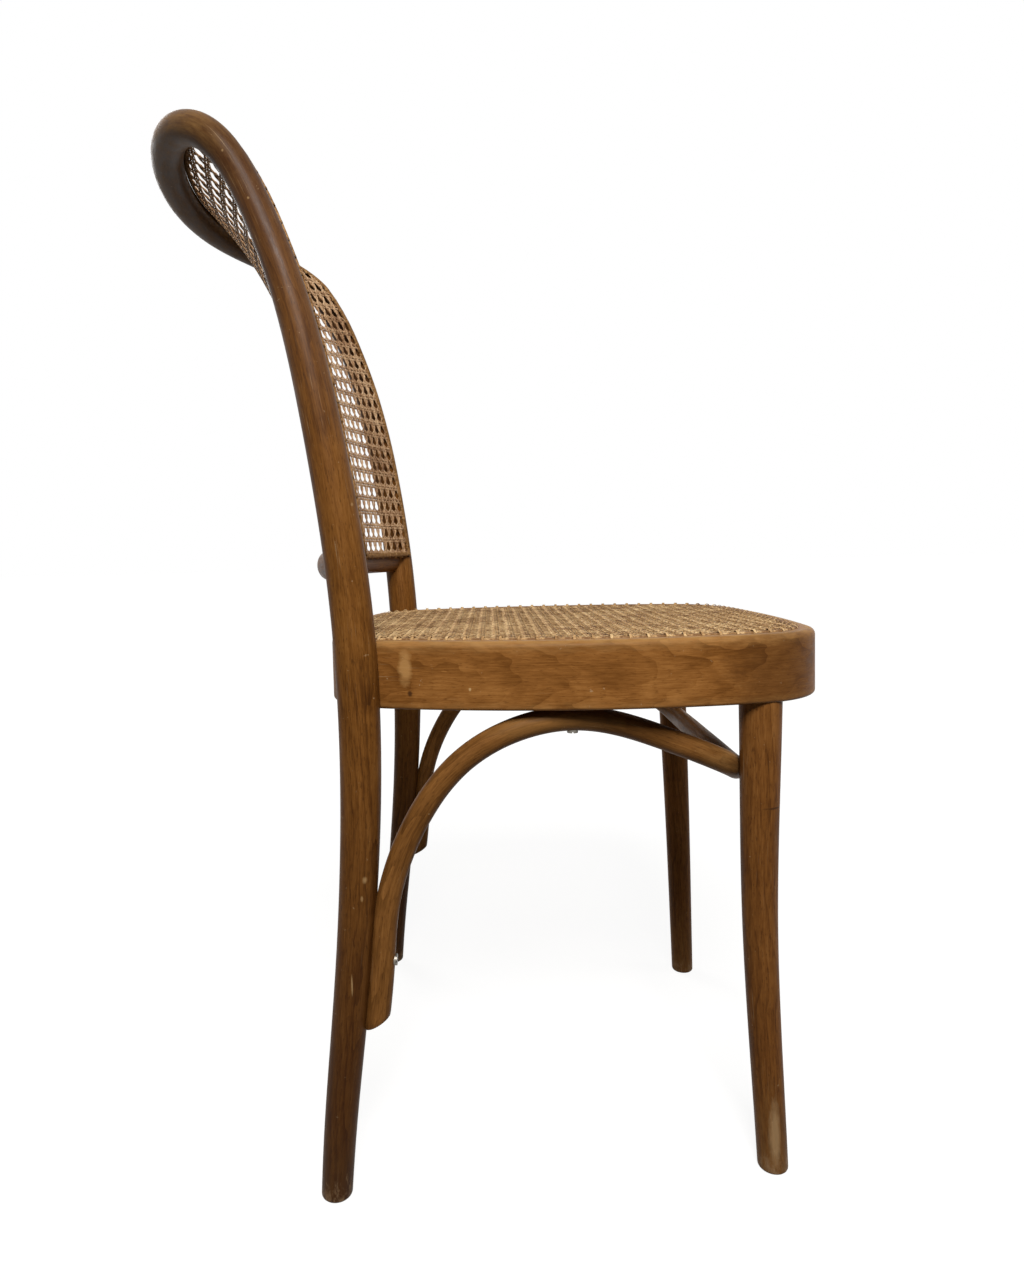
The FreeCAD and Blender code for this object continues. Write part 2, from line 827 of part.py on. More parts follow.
# Lower back rail, tenoned into the stiles
rail_end = stile_centre(size("rail_z"))
rail_radius = (rail_end.x ** 2 + size("rail_bow") ** 2) / (2 * size("rail_bow"))
rail_centre = Vector(0, rail_end.y + size("rail_bow") - rail_radius, size("rail_z"))
rail_angle = math.asin(rail_end.x / rail_radius)
rail_way = Vector(math.cos(rail_angle), -math.sin(rail_angle), 0)
rail_tenon_start = rail_end - rail_way * (stile_radius(size("rail_z")) + size("seat_reach"))
rail_tenon = size("rail_tenon_length") + size("seat_reach")


def rail_rod():
    oval = Part.Ellipse(Vector(0, 0, 0), 0.5 * size("rail_height"), 0.5 * size("rail_depth"))
    past = rail_end + rail_way * size("fit_gap")
    up = Vector(0, 0, 1)
    face = Part.Face(Part.Wire([oval.toShape()]))
    face.Placement = Placement(past, Rotation(up, rail_way.cross(up), rail_way, "ZXY"))
    return face.revolve(rail_centre, up, math.degrees(2 * rail_angle))


def rail_tenons(extra):
    """The tenons, or with some extra the mortises that hold them."""
    radius = 0.5 * size("rail_tenon_diameter") + extra
    left = rod(rail_tenon_start, rail_way, rail_tenon + extra, radius)
    return [left, mirrored(left)]


cane_outline = back_outline(0)
cane_room = back_slab(0, size("back_cane_room")).common(outwards([cane_outline]))
rail = only_solid(rail_rod().cut(hoop))
rail = rail.multiFuse(rail_tenons(0)).cut(cane_room)

# Brace, scribed to the four legs
brace = brace_rod()
brace_end = Placement(beside_leg(size("brace_end_z")),
                      Rotation(Vector(1, 0, 0), -size("brace_end_slant")))
end_room = 100.0
below_end = Part.makeBox(cutter_reach, 2 * end_room, end_room,
                         Vector(end_room - cutter_reach, -end_room, -end_room))
below_end.Placement = brace_end
brace = brace.cut(below_end)
brace = brace.cut(hoop).cut(leg_pair[0]).cut(leg_pair[1])
brace = cut_all(only_solid(brace), foot_bores + crest_bores + corner_bores)
for lines in (foot_lines, crest_lines, corner_lines):
    brace = cut_all(brace, seats(lines, size("screw_head_diameter"), 0))

# Back hoop, cut for the ring, the rail and the screws
hoop = hoop.cut(ring_outside)
hoop = cut_all(hoop, rail_tenons(size("fit_gap")) + stile_bores + foot_bores)

# Corner blocks
past_ring = 2 * size("block_depth")
block = Part.makeBox(size("block_depth") + past_ring, size("block_length"), size("block_height"),
                     Vector(0, -0.5 * size("block_length"), 0))
block.Placement = Placement(front_corner + block_way * block_face + Vector(0, 0, block_bottom),
                            Rotation(block_way, block_across, Vector(0, 0, 1), "ZXY"))
block = block.common(ring_inside)
blocks = {"corner_block_left": block, "corner_block_right": mirrored(block)}
for name in blocks:
    blocks[name] = cut_all(blocks[name], block_bores)

# Cane sheets: flat nets with open gaps
seat_land = size("ring_wall") - size("seat_cane_inset") + size("weave_edge")
seat_outline = plan_wire(size("seat_cane_inset") + size("fit_gap"), cane_bed)
seat_gaps = gap_wires(seat_outline, Vector(1, 0, 0), Vector(0, 1, 0), seat_land)
seat_net = Part.makeFace([seat_outline] + seat_gaps, "Part::FaceMakerBullseye")
seat_cane = seat_net.extrude(Vector(0, 0, size("cane_thickness")))
seat_inner = plan_wire(size("seat_cane_inset") + size("binding_width"), ring_top)
seat_strip = Part.makeFace([plan_wire(size("seat_cane_inset"), ring_top), seat_inner],
                           "Part::FaceMakerBullseye")
seat_binding = seat_strip.extrude(Vector(0, 0, size("binding_thickness")))

back_land = size("binding_width") + size("weave_edge")
back_gaps = gap_wires(cane_outline, Vector(1, 0, 0), back_up, back_land)
back_cane = back_slab(0, size("cane_thickness")).common(outwards([cane_outline] + back_gaps))
strip_inner = back_outline(size("binding_width"))
strip_bottom = size("cane_thickness") + size("back_cane_gap")
strip_top = strip_bottom + size("binding_thickness")
back_binding = back_slab(strip_bottom, strip_top).common(outwards([cane_outline, strip_inner]))
print("seat gaps", len(seat_gaps), "back gaps", len(back_gaps))

# Every piece becomes an object of the document
solids = {
    "back_hoop": hoop,
    "lower_back_rail": rail,
    "seat_ring": ring,
    "front_leg_left": legs["front_leg_left"],
    "front_leg_right": legs["front_leg_right"],
    "brace": brace,
    "corner_block_left": blocks["corner_block_left"],
    "corner_block_right": blocks["corner_block_right"],
    "seat_cane": seat_cane,
    "seat_cane_binding": seat_binding,
    "back_cane": back_cane,
    "back_cane_binding": back_binding,
}
nodes = [feature(name, shape) for name, shape in solids.items()]
nodes.append(screw_group("stile_screws", stile_lines, "stile_screw_length", "stile_screw"))
nodes.append(washer_group("stile_screw_washers", stile_lines))
nodes.append(screw_group("corner_block_screws", block_lines, "block_screw_length", "screw"))
nodes.append(screw_group("brace_foot_screws", foot_lines, "brace_screw_length", "screw"))
nodes.append(screw_group("brace_crest_screws", crest_lines, "brace_screw_length", "screw"))
nodes.append(screw_group("brace_leg_screws", corner_lines, "brace_screw_length", "screw"))

# The frame's origin is on the floor at the middle of the chair's length
rearmost = hoop_point(0).y + hoop_radius(size("hoop_length"))
to_middle = Vector(0, -0.5 * (rearmost + size("ring_front_y")), 0)
for node in nodes:
    node.Placement = Placement(to_middle, Rotation())
doc.recompute()

for item in doc.Objects:
    if "Invalid" in item.State or "Error" in item.State:
        raise RuntimeError("%s is %s" % (item.Name, item.State))
for node in nodes:
    if node.Shape.isNull() or not node.Shape.isValid() or not node.Shape.Solids:
        raise RuntimeError("%s has no valid solid" % node.Label)

os.makedirs("parts", exist_ok=True)
for node in nodes:
    node.Shape.exportStep("parts/%s.step" % node.Label)
    print("%-20s %2d solid %8.1f cm3" % (
        node.Label, len(node.Shape.Solids), node.Shape.Volume / 1000))
print("shifted", to_middle)
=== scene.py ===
# Bentwood chair with a cane seat and back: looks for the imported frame. Metres, same frame as the CAD.
import bmesh
import bpy
import math
import numpy as np
from mathutils import Matrix, Vector


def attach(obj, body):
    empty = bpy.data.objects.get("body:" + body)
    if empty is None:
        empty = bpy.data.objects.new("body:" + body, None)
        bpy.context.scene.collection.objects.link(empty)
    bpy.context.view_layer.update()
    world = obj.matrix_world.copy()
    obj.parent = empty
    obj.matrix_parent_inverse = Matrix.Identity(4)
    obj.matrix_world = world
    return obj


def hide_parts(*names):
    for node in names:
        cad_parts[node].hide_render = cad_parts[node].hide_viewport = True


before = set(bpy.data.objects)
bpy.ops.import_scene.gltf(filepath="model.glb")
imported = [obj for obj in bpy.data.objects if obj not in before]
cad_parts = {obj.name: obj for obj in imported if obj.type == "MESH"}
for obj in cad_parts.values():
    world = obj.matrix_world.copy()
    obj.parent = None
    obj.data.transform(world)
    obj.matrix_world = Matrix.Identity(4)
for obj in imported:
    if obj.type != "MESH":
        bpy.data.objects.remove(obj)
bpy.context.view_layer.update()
rng = np.random.default_rng(7)
millimetre = 0.001
underSkin = 0.07      # mm by which the large pieces stay inside the solids' faceted surfaces
toMiddle = 0.022565   # the CAD's shift of the chair along Y, so that its origin is under its middle
print("frame loaded")


# Small helpers

def hexColour(text):
    channels = [int(text[i:i + 2], 16) / 255 for i in (1, 3, 5)]
    return tuple(c / 12.92 if c <= 0.04045 else ((c + 0.055) / 1.055) ** 2.4 for c in channels) + (1.0,)


def smoothValue(stations, values, at):
    # a smooth curve through the values at the stations, as the part's source has it
    stations = np.asarray(stations, float)
    values = np.asarray(values, float)
    at = np.clip(np.asarray(at, float), stations[0], stations[-1])
    spans = np.diff(stations)
    slopes = np.diff(values) / spans
    ends = np.empty_like(values)
    ends[0], ends[-1] = slopes[0], slopes[-1]
    ends[1:-1] = (slopes[:-1] * spans[1:] + slopes[1:] * spans[:-1]) / (spans[1:] + spans[:-1])
    i = np.clip(np.searchsorted(stations, at, side="left") - 1, 0, len(spans) - 1)
    u = (at - stations[i]) / spans[i]
    near = values[i] * (1 + 2 * u) * (1 - u) ** 2 + ends[i] * spans[i] * u * (1 - u) ** 2
    far = values[i + 1] * u * u * (3 - 2 * u) + ends[i + 1] * spans[i] * u * u * (u - 1)
    return near + far


def unit(vectors):
    vectors = np.asarray(vectors, float)
    return vectors / np.linalg.norm(vectors, axis=-1, keepdims=True)


def leftOf(ways):
    # a quarter turn of flat directions
    return np.stack([-ways[..., 1], ways[..., 0]], axis=-1)


def lengthsAlong(points):
    return np.concatenate([[0], np.cumsum(np.linalg.norm(np.diff(points, axis=0), axis=1))])


def wearAlong(places, base, *peaks):
    # rubbed a little everywhere, and more about some places: how much more, where, and how far it reaches
    return base + sum(more * np.exp(-((places - at) / reach) ** 2) for more, at, reach in peaks)


def meshPiece(name, points, faces, attributes=None, material=None, smooth=True):
    mesh = bpy.data.meshes.new(name)
    mesh.from_pydata([tuple(p) for p in points], [], faces)
    for key, values in (attributes or {}).items():
        values = np.asarray(values, float)
        kind = "FLOAT_VECTOR" if values.ndim == 2 else "FLOAT"
        layer = mesh.attributes.new(key, kind, "POINT")
        layer.data.foreach_set("vector" if values.ndim == 2 else "value", values.ravel())
    mesh.validate()
    if smooth:
        mesh.shade_smooth()
    piece = bpy.data.objects.new(name, mesh)
    bpy.context.collection.objects.link(piece)
    if material:
        mesh.materials.append(material)
    return piece


def pointsOf(piece):
    points = np.empty(len(piece.data.vertices) * 3)
    piece.data.vertices.foreach_get("co", points)
    return points.reshape(-1, 3)


def movePoints(piece, points):
    piece.data.vertices.foreach_set("co", points.ravel())
    piece.data.update()


def register(piece, node=None):
    # every piece rides on the one body; node is the solid that it stands in for
    if node:
        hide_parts(node)
    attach(piece, "root")


def ringFaces(ringCount, segmentCount, closedLoop=False):
    # quads between rings of vertices, with each open end closed by one flat face
    faces = []
    last = ringCount if closedLoop else ringCount - 1
    for i in range(last):
        a = i * segmentCount
        b = ((i + 1) % ringCount) * segmentCount
        for k in range(segmentCount):
            n = (k + 1) % segmentCount
            faces.append((a + k, a + n, b + n, b + k))
    if not closedLoop:
        faces.append(tuple(reversed(range(segmentCount))))
        faces.append(tuple(range((ringCount - 1) * segmentCount, ringCount * segmentCount)))
    return faces


def outwardFaces(piece):
    # turns the faces outwards where the rings were laid the other way round
    work = bmesh.new()
    work.from_mesh(piece.data)
    bmesh.ops.recalc_face_normals(work, faces=work.faces)
    work.to_mesh(piece.data)
    work.free()


def rodPiece(name, centres, alongs, sides, radii, material, worn, segments=40, ovals=None):
    # A round or oval rod. grainPlace holds each point's place in the straight rod before it was bent.
    centres = np.asarray(centres, float)
    alongs, sides = (np.broadcast_to(ways, centres.shape) for ways in (alongs, sides))
    radii, worn, ovals = (np.broadcast_to(values, len(centres))
                          for values in (radii, worn, radii if ovals is None else ovals))
    alongs = unit(alongs)
    sides = unit(sides - alongs * np.sum(alongs * sides, axis=1, keepdims=True))
    others = np.cross(alongs, sides)
    lengths = lengthsAlong(centres)
    turn = np.arange(segments) * 2 * math.pi / segments
    a = np.outer(radii, np.cos(turn))
    b = np.outer(ovals, np.sin(turn))
    points = centres[:, None, :] + a[:, :, None] * sides[:, None, :] + b[:, :, None] * others[:, None, :]
    straight = np.stack([np.repeat(lengths[:, None], segments, 1), a, b], axis=2)
    wear = np.repeat(worn[:, None], segments, 1)
    piece = meshPiece(name, points.reshape(-1, 3), ringFaces(len(centres), segments),
                      {"grainPlace": straight.reshape(-1, 3), "worn": wear.ravel()}, material)
    outwardFaces(piece)
    return piece


# Materials: node trees, built with one function that adds a node

def outputOf(source):
    # a node's named output, or the first one that it has in use
    if isinstance(source, tuple):
        return source[0].outputs[source[1]]
    return next(output for output in source.outputs if output.enabled)


def addNode(tree, kind, links=(), **settings):
    # links go by a socket's name or place; each is a node, a node with an output's name, or a plain value
    node = tree.nodes.new(kind)
    for key, value in settings.items():
        setattr(node, key, value)
    for socket, value in links.items() if isinstance(links, dict) else enumerate(links):
        source = value[0] if isinstance(value, tuple) else value
        if isinstance(source, bpy.types.Node):
            tree.links.new(outputOf(value), node.inputs[socket])
        else:
            node.inputs[socket].default_value = value
    return node


def stretchedNoise(tree, place, size, detail=3.0, roughness=0.55, distortion=0.0):
    # size is the length of one wave in mm: one number, or one along each direction
    size = size if isinstance(size, tuple) else (size, size, size)
    scale = tuple(1 / (s * millimetre) for s in size)
    stretched = addNode(tree, "ShaderNodeMapping", {"Vector": place, "Scale": scale})
    return addNode(tree, "ShaderNodeTexNoise", {
        "Vector": stretched, "Scale": 1.0, "Detail": detail, "Roughness": roughness,
        "Distortion": distortion})


def weighted(tree, total, layers):
    # adds layers that swing about a half, each times its weight
    for layer, weight in layers:
        swing = addNode(tree, "ShaderNodeMath", (layer, 0.5), operation="SUBTRACT")
        total = addNode(tree, "ShaderNodeMath", (swing, weight, total), operation="MULTIPLY_ADD")
    return total


def painted(tree, colour, coats):
    # lays tints over a colour, each where its mask says
    for mask, tint in coats:
        colour = addNode(tree, "ShaderNodeMix", {
            "Factor": mask, "A": colour, "B": hexColour(tint)}, data_type="RGBA")
    return colour


def fillRamp(ramp, places, colours):
    elements = ramp.color_ramp.elements
    while len(elements) < len(colours):
        elements.new(0.5)
    for element, place, colour in zip(elements, places, colours):
        element.position = place
        element.color = hexColour(colour)
    return ramp


def newMaterial(name):
    material = bpy.data.materials.new(name)
    material.use_nodes = True
    material.node_tree.nodes.clear()
    return material, material.node_tree


def closeMaterial(tree, links):
    shader = addNode(tree, "ShaderNodeBsdfPrincipled", links)
    addNode(tree, "ShaderNodeOutputMaterial", {"Surface": shader})


# Steam-bent beech under worn satin varnish: soft figure, fine fibres, short dark flecks, rubbed edges
beech = {
    "rubbedAndLit": "#9c7748",
    # darkening towards the floor: part grime, part painted shade
    "grimeAndShade": "#26120a",
    # darkening of the upper back: part aged varnish, part painted shade
    "agedAndShade": "#2b170a",
    "scratched": "#a58a68",
    "scuffed": "#8f7354",
    "toneAt": (0.0, 0.32, 0.58, 1.0),
    "weights": {"blotch": 0.8, "streak": 0.42, "fibre": 1.0},
    "shift": 1.7,                          # moves each material to another part of the plank
    "wanderReach": 5.0,                    # how far the rings wander, in their own widths
    "bow": 12.0,                           # how the rings curve across the plank
    "lateWood": 2.5,                       # how suddenly a ring darkens at its end
    "lateMean": 0.29,
    # a mask's values: where it starts and ends, and its strength at each
    "presence": (0.36, 0.60, 0.0),
    "flecks": (0.58, 0.70, 0.0, 0.55),
    "wear": (0.14, 0.75, 0.0, 0.85),
    "scratches": (0.66, 0.72),
    "scratchClusters": (0.54, 0.64, 0.0, 0.55),
    "knocks": (0.70, 0.75, 0.0, 0.5),
    "scuffs": (0.25, 0.36, 0.0, 0.75),
    "markEdge": (1.75, 1.15, 0.0),
    "markBreak": 1.3,
    "grimeAndShadeUneven": (0.3, 0.7, 0.65, 1.0),
    "gloss": (0.3, 0.7, 0.36, 0.54),
    # the same by height in metres, then how shiny the varnish is
    "agedAndShadeOver": 0.26,
    "agedAndShadeShare": 0.80,
    "grimeAndShadeTo": 0.42,
    "scuffsTo": (0.0, 0.07, 0.62, 0.0),
    "shineAt": (0.46, 0.66),
    "shineTo": (0.80, 0.86),
    "dull": 0.05,                          # the varnish shines on the upper back only
    "shine": 0.12,
    "bump": (0.12, 0.0006),                # strength, and depth in metres
}
# mm along and across the grain of one wave, then detail, roughness and distortion. Real fibres and
# scratches are 0.1 to 0.3 mm wide, too fine to show, so they are drawn at 0.8 to 1.1 mm.
grainNoise = {
    "presence": ((250.0, 33.333, 33.333),),
    "blotch": ((90.909, 38.462, 38.462), 4.0, 0.6),
    "swirl": ((62.5, 41.667, 41.667), 3.0, 0.55, 2.4),
    "streak": ((142.857, 3.846, 3.846), 3.0, 0.6),
    "fibre": ((16.6667, 1.1111, 1.1111), 4.0, 0.7),
    "fleck": ((5.88235, 1.1111, 1.1111), 2.0, 0.5),
    "patch": ((16.6667, 5.0, 5.0), 5.0, 0.7),
    "scratch": ((62.5, 0.76923, 0.76923), 2.0, 0.5),
    "cluster": ((71.4286, 33.333, 33.333), 2.0, 0.5),
}
knockNoise = (4.7619, 3.0, 0.6)
scuffNoise = ((6.6667, 6.6667, 16.6667), 6.0, 0.75)


def growthRings(tree, place, figure, presence):
    # sheets in the straight plank, cut at a small slope and wandering along it
    width = figure["ringWidth"] * millimetre
    split = addNode(tree, "ShaderNodeSeparateXYZ", {"Vector": place})
    wander = stretchedNoise(tree, place, figure["wander"])
    slope = addNode(tree, "ShaderNodeMath", (
        (split, "X"), figure["tilt"], (split, "Y")), operation="MULTIPLY_ADD")
    bend = addNode(tree, "ShaderNodeMath", ((split, "Z"), (split, "Z")), operation="MULTIPLY")
    bowed = addNode(tree, "ShaderNodeMath", (bend, beech["bow"], slope), operation="MULTIPLY_ADD")
    wandering = addNode(tree, "ShaderNodeMath", (
        wander, width * beech["wanderReach"], bowed), operation="MULTIPLY_ADD")
    count = addNode(tree, "ShaderNodeMath", (wandering, width), operation="DIVIDE")
    early = addNode(tree, "ShaderNodeMath", (count,), operation="FRACT")
    late = addNode(tree, "ShaderNodeMath", (early, beech["lateWood"]), operation="POWER")
    edge = addNode(tree, "ShaderNodeMath", (beech["lateMean"], late), operation="SUBTRACT")
    seen = addNode(tree, "ShaderNodeMapRange", (presence, *beech["presence"], figure["strength"]))
    return addNode(tree, "ShaderNodeMath", (edge, seen), operation="MULTIPLY")


def beechMaterial(name, tones, figure, seed, marks=(), feetGrimeAndShade=0.0, agedAndShadeAbove=None):
    # tones run from the darkest streak to the lightest; marks are single spots at their places, some of them
    # painted shade or painted highlight
    material, tree = newMaterial(name)
    grain = addNode(tree, "ShaderNodeAttribute", attribute_name="grainPlace")
    place = addNode(tree, "ShaderNodeVectorMath", (
        (grain, "Vector"), (seed * beech["shift"], 0.0, 0.0)), operation="ADD")
    room = (addNode(tree, "ShaderNodeTexCoord"), "Object")
    height = (addNode(tree, "ShaderNodeSeparateXYZ", {"Vector": room}), "Z")
    worn = (addNode(tree, "ShaderNodeAttribute", attribute_name="worn"), "Fac")
    layer = {key: stretchedNoise(tree, place, *settings) for key, settings in grainNoise.items()}
    # growth rings, stain that took unevenly, swirls where the plank was cut across, and fine fibres
    rings = growthRings(tree, place, figure, layer["presence"])
    weights = dict(beech["weights"], swirl=figure["swirl"])
    tone = weighted(tree, rings, [(layer[key], weight) for key, weight in weights.items()])
    tone = addNode(tree, "ShaderNodeMath", (tone, 0.5), operation="ADD")
    stain = fillRamp(addNode(tree, "ShaderNodeValToRGB", {"Fac": tone}), beech["toneAt"], tones)
    # beech flecks: short dark dashes
    coats = [(addNode(tree, "ShaderNodeMapRange", (layer["fleck"], *beech["flecks"])), tones[0])]
    if agedAndShadeAbove:
        # the varnish has gone grey-brown where hands and backs touch it, and the same dark coat is painted
        # shade over the upper back
        agedAndShade = addNode(tree, "ShaderNodeMapRange", (
            height, agedAndShadeAbove, agedAndShadeAbove + beech["agedAndShadeOver"], 0.0, beech["agedAndShadeShare"]))
        coats.append((agedAndShade, beech["agedAndShade"]))
    # rubbed edges, where the varnish is thin; on the ring's top the same paler coat is also painted highlight
    rubbedAndLit = addNode(tree, "ShaderNodeMath", (worn, layer["patch"]), operation="MULTIPLY")
    coats.append((addNode(tree, "ShaderNodeMapRange", (rubbedAndLit, *beech["wear"])), beech["rubbedAndLit"]))
    # thin scratches along the grain and small knocks through the varnish
    scratch = addNode(tree, "ShaderNodeMapRange", (layer["scratch"], *beech["scratches"]))
    cluster = addNode(tree, "ShaderNodeMapRange", (layer["cluster"], *beech["scratchClusters"]))
    clustered = addNode(tree, "ShaderNodeMath", (scratch, cluster), operation="MULTIPLY")
    knock = addNode(tree, "ShaderNodeMapRange", (stretchedNoise(tree, room, *knockNoise), *beech["knocks"]))
    coats += [(clustered, beech["scratched"]), (knock, beech["scratched"])]
    if feetGrimeAndShade:
        # darker lower legs, partly grime and partly painted shade where less light reaches near the floor,
        # with pale scuffs near the floor
        low = addNode(tree, "ShaderNodeMapRange", (height, 0.0, beech["grimeAndShadeTo"], feetGrimeAndShade, 0.0))
        uneven = addNode(tree, "ShaderNodeMapRange", (layer["blotch"], *beech["grimeAndShadeUneven"]))
        coats.append((addNode(tree, "ShaderNodeMath", (low, uneven), operation="MULTIPLY"), beech["grimeAndShade"]))
        nearFloor = addNode(tree, "ShaderNodeMapRange", (height, *beech["scuffsTo"]))
        scuff = stretchedNoise(tree, room, *scuffNoise)
        scuffed = addNode(tree, "ShaderNodeMath", (scuff, nearFloor), operation="MULTIPLY")
        coats.append((addNode(tree, "ShaderNodeMapRange", (scuffed, *beech["scuffs"])), beech["scuffed"]))
    for centre, spread, tint, strength in marks:
        # one knot, pale patch, chip, patch of painted shade or painted highlight: an oval with a broken edge
        offset = addNode(tree, "ShaderNodeVectorMath", (room, centre), operation="SUBTRACT")
        shrunk = addNode(tree, "ShaderNodeVectorMath", (
            offset, tuple(1 / s for s in spread)), operation="MULTIPLY")
        away = addNode(tree, "ShaderNodeVectorMath", (shrunk,), operation="LENGTH")
        broken = addNode(tree, "ShaderNodeMath", (
            layer["patch"], beech["markBreak"], away), operation="MULTIPLY_ADD")
        coats.append((addNode(tree, "ShaderNodeMapRange", (broken, *beech["markEdge"], strength)), tint))
    rising = addNode(tree, "ShaderNodeMapRange", (height, *beech["shineAt"], beech["dull"], beech["shine"]))
    falling = addNode(tree, "ShaderNodeMapRange", (height, *beech["shineTo"], beech["shine"], beech["dull"]))
    strength, distance = beech["bump"]
    closeMaterial(tree, {
        "Base Color": painted(tree, stain, coats),
        "Roughness": addNode(tree, "ShaderNodeMapRange", (layer["patch"], *beech["gloss"])),
        "Specular IOR Level": addNode(tree, "ShaderNodeMath", (rising, falling), operation="MINIMUM"),
        "Normal": addNode(tree, "ShaderNodeBump", {
            "Height": layer["fibre"], "Strength": strength, "Distance": distance})})
    return material


# Split rattan: a satin yellow skin with fine lengthwise fibres, browned unevenly by age. Its specks
# are drawn a few times coarser than the real ones, so that they show.
rattan = {
    "age": (38.4615, 5.0, 0.65),
    "speck": (2.38095, 3.0, 0.7),
    "weights": (0.60, 1.4, 2.2),
    "roughness": 0.58,
    "bump": (0.2, 0.0004),
}


def caneMaterial(name, colours, shine=0.14):
    material, tree = newMaterial(name)
    tone = (addNode(tree, "ShaderNodeAttribute", attribute_name="strandTone"), "Fac")
    room = (addNode(tree, "ShaderNodeTexCoord"), "Object")
    age = stretchedNoise(tree, room, *rattan["age"])
    speck = stretchedNoise(tree, room, *rattan["speck"])
    total = weighted(tree, 0.5, zip((tone, age, speck), rattan["weights"]))
    strength, distance = rattan["bump"]
    closeMaterial(tree, {
        "Base Color": fillRamp(addNode(tree, "ShaderNodeValToRGB", {"Fac": total}), (0.0, 0.5, 1.0), colours),
        "Roughness": rattan["roughness"],
        "Specular IOR Level": shine,
        "Normal": addNode(tree, "ShaderNodeBump", {
            "Height": speck, "Strength": strength, "Distance": distance})})
    return material


# Sawn beech and slotted steel out of sight: one dull colour under patches of brown grime
grimy = {"colour": "#2c2018", "noise": (11.1111, 5.0, 0.65), "share": (0.3, 0.7, 0.6, 1.0)}


def plainMaterial(name, colour, roughness, metallic=0.0):
    material, tree = newMaterial(name)
    room = (addNode(tree, "ShaderNodeTexCoord"), "Object")
    patch = stretchedNoise(tree, room, *grimy["noise"])
    clean = addNode(tree, "ShaderNodeMapRange", (patch, *grimy["share"]))
    closeMaterial(tree, {
        "Base Color": painted(tree, hexColour(grimy["colour"]), [(clean, colour)]),
        "Roughness": roughness, "Metallic": metallic})
    return material


# mm from growth ring to growth ring, slope of the cut, and how strong the rings and swirls are
rodFigure = {
    "ringWidth": 6.5, "tilt": 0.030, "strength": 0.30, "swirl": 0.35, "wander": (166.667, 33.333, 33.333)}
ringFigure = {
    "ringWidth": 7.5, "tilt": 0.150, "strength": 0.34, "swirl": 0.7, "wander": (100.0, 50.0, 50.0)}
paleChip = "#b08f62"
# a dark brown for knots, also used for painted shade
darkKnotAndShade = "#3a220f"
hoopMarks = (
    ((-0.2124, 0.0936, 0.267), (0.02, 0.0022, 0.0035), paleChip, 0.5),
    ((-0.2124, 0.0963, 0.252), (0.02, 0.0012, 0.0026), paleChip, 0.4),
    ((-0.2150, 0.1062, 0.183), (0.02, 0.0008, 0.0090), paleChip, 0.55),
    ((-0.2080, 0.0952, 0.565), (0.02, 0.0009, 0.0014), paleChip, 0.4),
    ((-0.2101, 0.1860, 0.837), (0.02, 0.0010, 0.0012), paleChip, 0.35),
    ((-0.2115, 0.1670, 0.800), (0.02, 0.0010, 0.0010), paleChip, 0.35),
)
ringMarks = (
    ((-0.1949, 0.0587, 0.434), (0.02, 0.006, 0.015), "#b58a54", 0.55),
    ((-0.1958, 0.0551, 0.413), (0.02, 0.0022, 0.0030), darkKnotAndShade, 0.9),
    ((-0.2055, 0.0066, 0.417), (0.02, 0.0012, 0.0015), paleChip, 0.9),
    # painted shade: a broad dark patch where the ring turns towards the front corner, away from the light
    ((-0.2000, -0.2500, 0.425), (0.06, 0.060, 0.050), darkKnotAndShade, 0.45),
)
braceMarks = (
    # painted shade: dark at the brace's bend beside the near front leg, under the ring
    ((-0.1800, -0.2230, 0.345), (0.03, 0.020, 0.016), darkKnotAndShade, 0.55),
    # painted light: a paler band along the top of the brace's crest, where the ring shades it
    ((-0.2010, -0.0600, 0.386), (0.03, 0.070, 0.012), "#8a6336", 0.35),
)
legMarks = (
    ((-0.1824, -0.2378, 0.035), (0.02, 0.005, 0.030), "#a48660", 0.55),
    ((-0.1817, -0.2390, 0.311), (0.02, 0.010, 0.0012), darkKnotAndShade, 0.8),
)
stainedBeech = beechMaterial("stainedBeechHoop", ("#331b07", "#52300f", "#6b431a", "#865a2c"),
                             rodFigure, 1.0, hoopMarks, feetGrimeAndShade=0.95, agedAndShadeAbove=0.58)
legBeech = beechMaterial("stainedBeechLegs", ("#3c210b", "#5b3615", "#73481f", "#8c5f32"),
                         rodFigure, 4.0, legMarks, feetGrimeAndShade=0.35)
ringBeech = beechMaterial("stainedBeechRing", ("#4f2c0d", "#673f18", "#7d5024", "#9a6a37"),
                          ringFigure, 5.0, ringMarks)
braceBeech = beechMaterial("stainedBeechBrace", ("#3f240c", "#583716", "#6f4821", "#8a5e31"),
                           rodFigure, 9.0, braceMarks)
cane = caneMaterial("agedCane", ("#715030", "#a88458", "#cfb081"))
backCane = caneMaterial("agedBackCane", ("#66452b", "#a27d59", "#c9a883"))
rimCane = caneMaterial("agedRimCane", ("#523619", "#82603c", "#a58259"), 0.03)
plainBeech = plainMaterial("rawBeechBlocks", "#a07c52", 0.6)
screwSteel = plainMaterial("dulledSteel", "#8a857c", 0.42, 1.0)
print("materials made")


# Back hoop: one rod from foot to crown to foot, in millimetres as the part's source has it

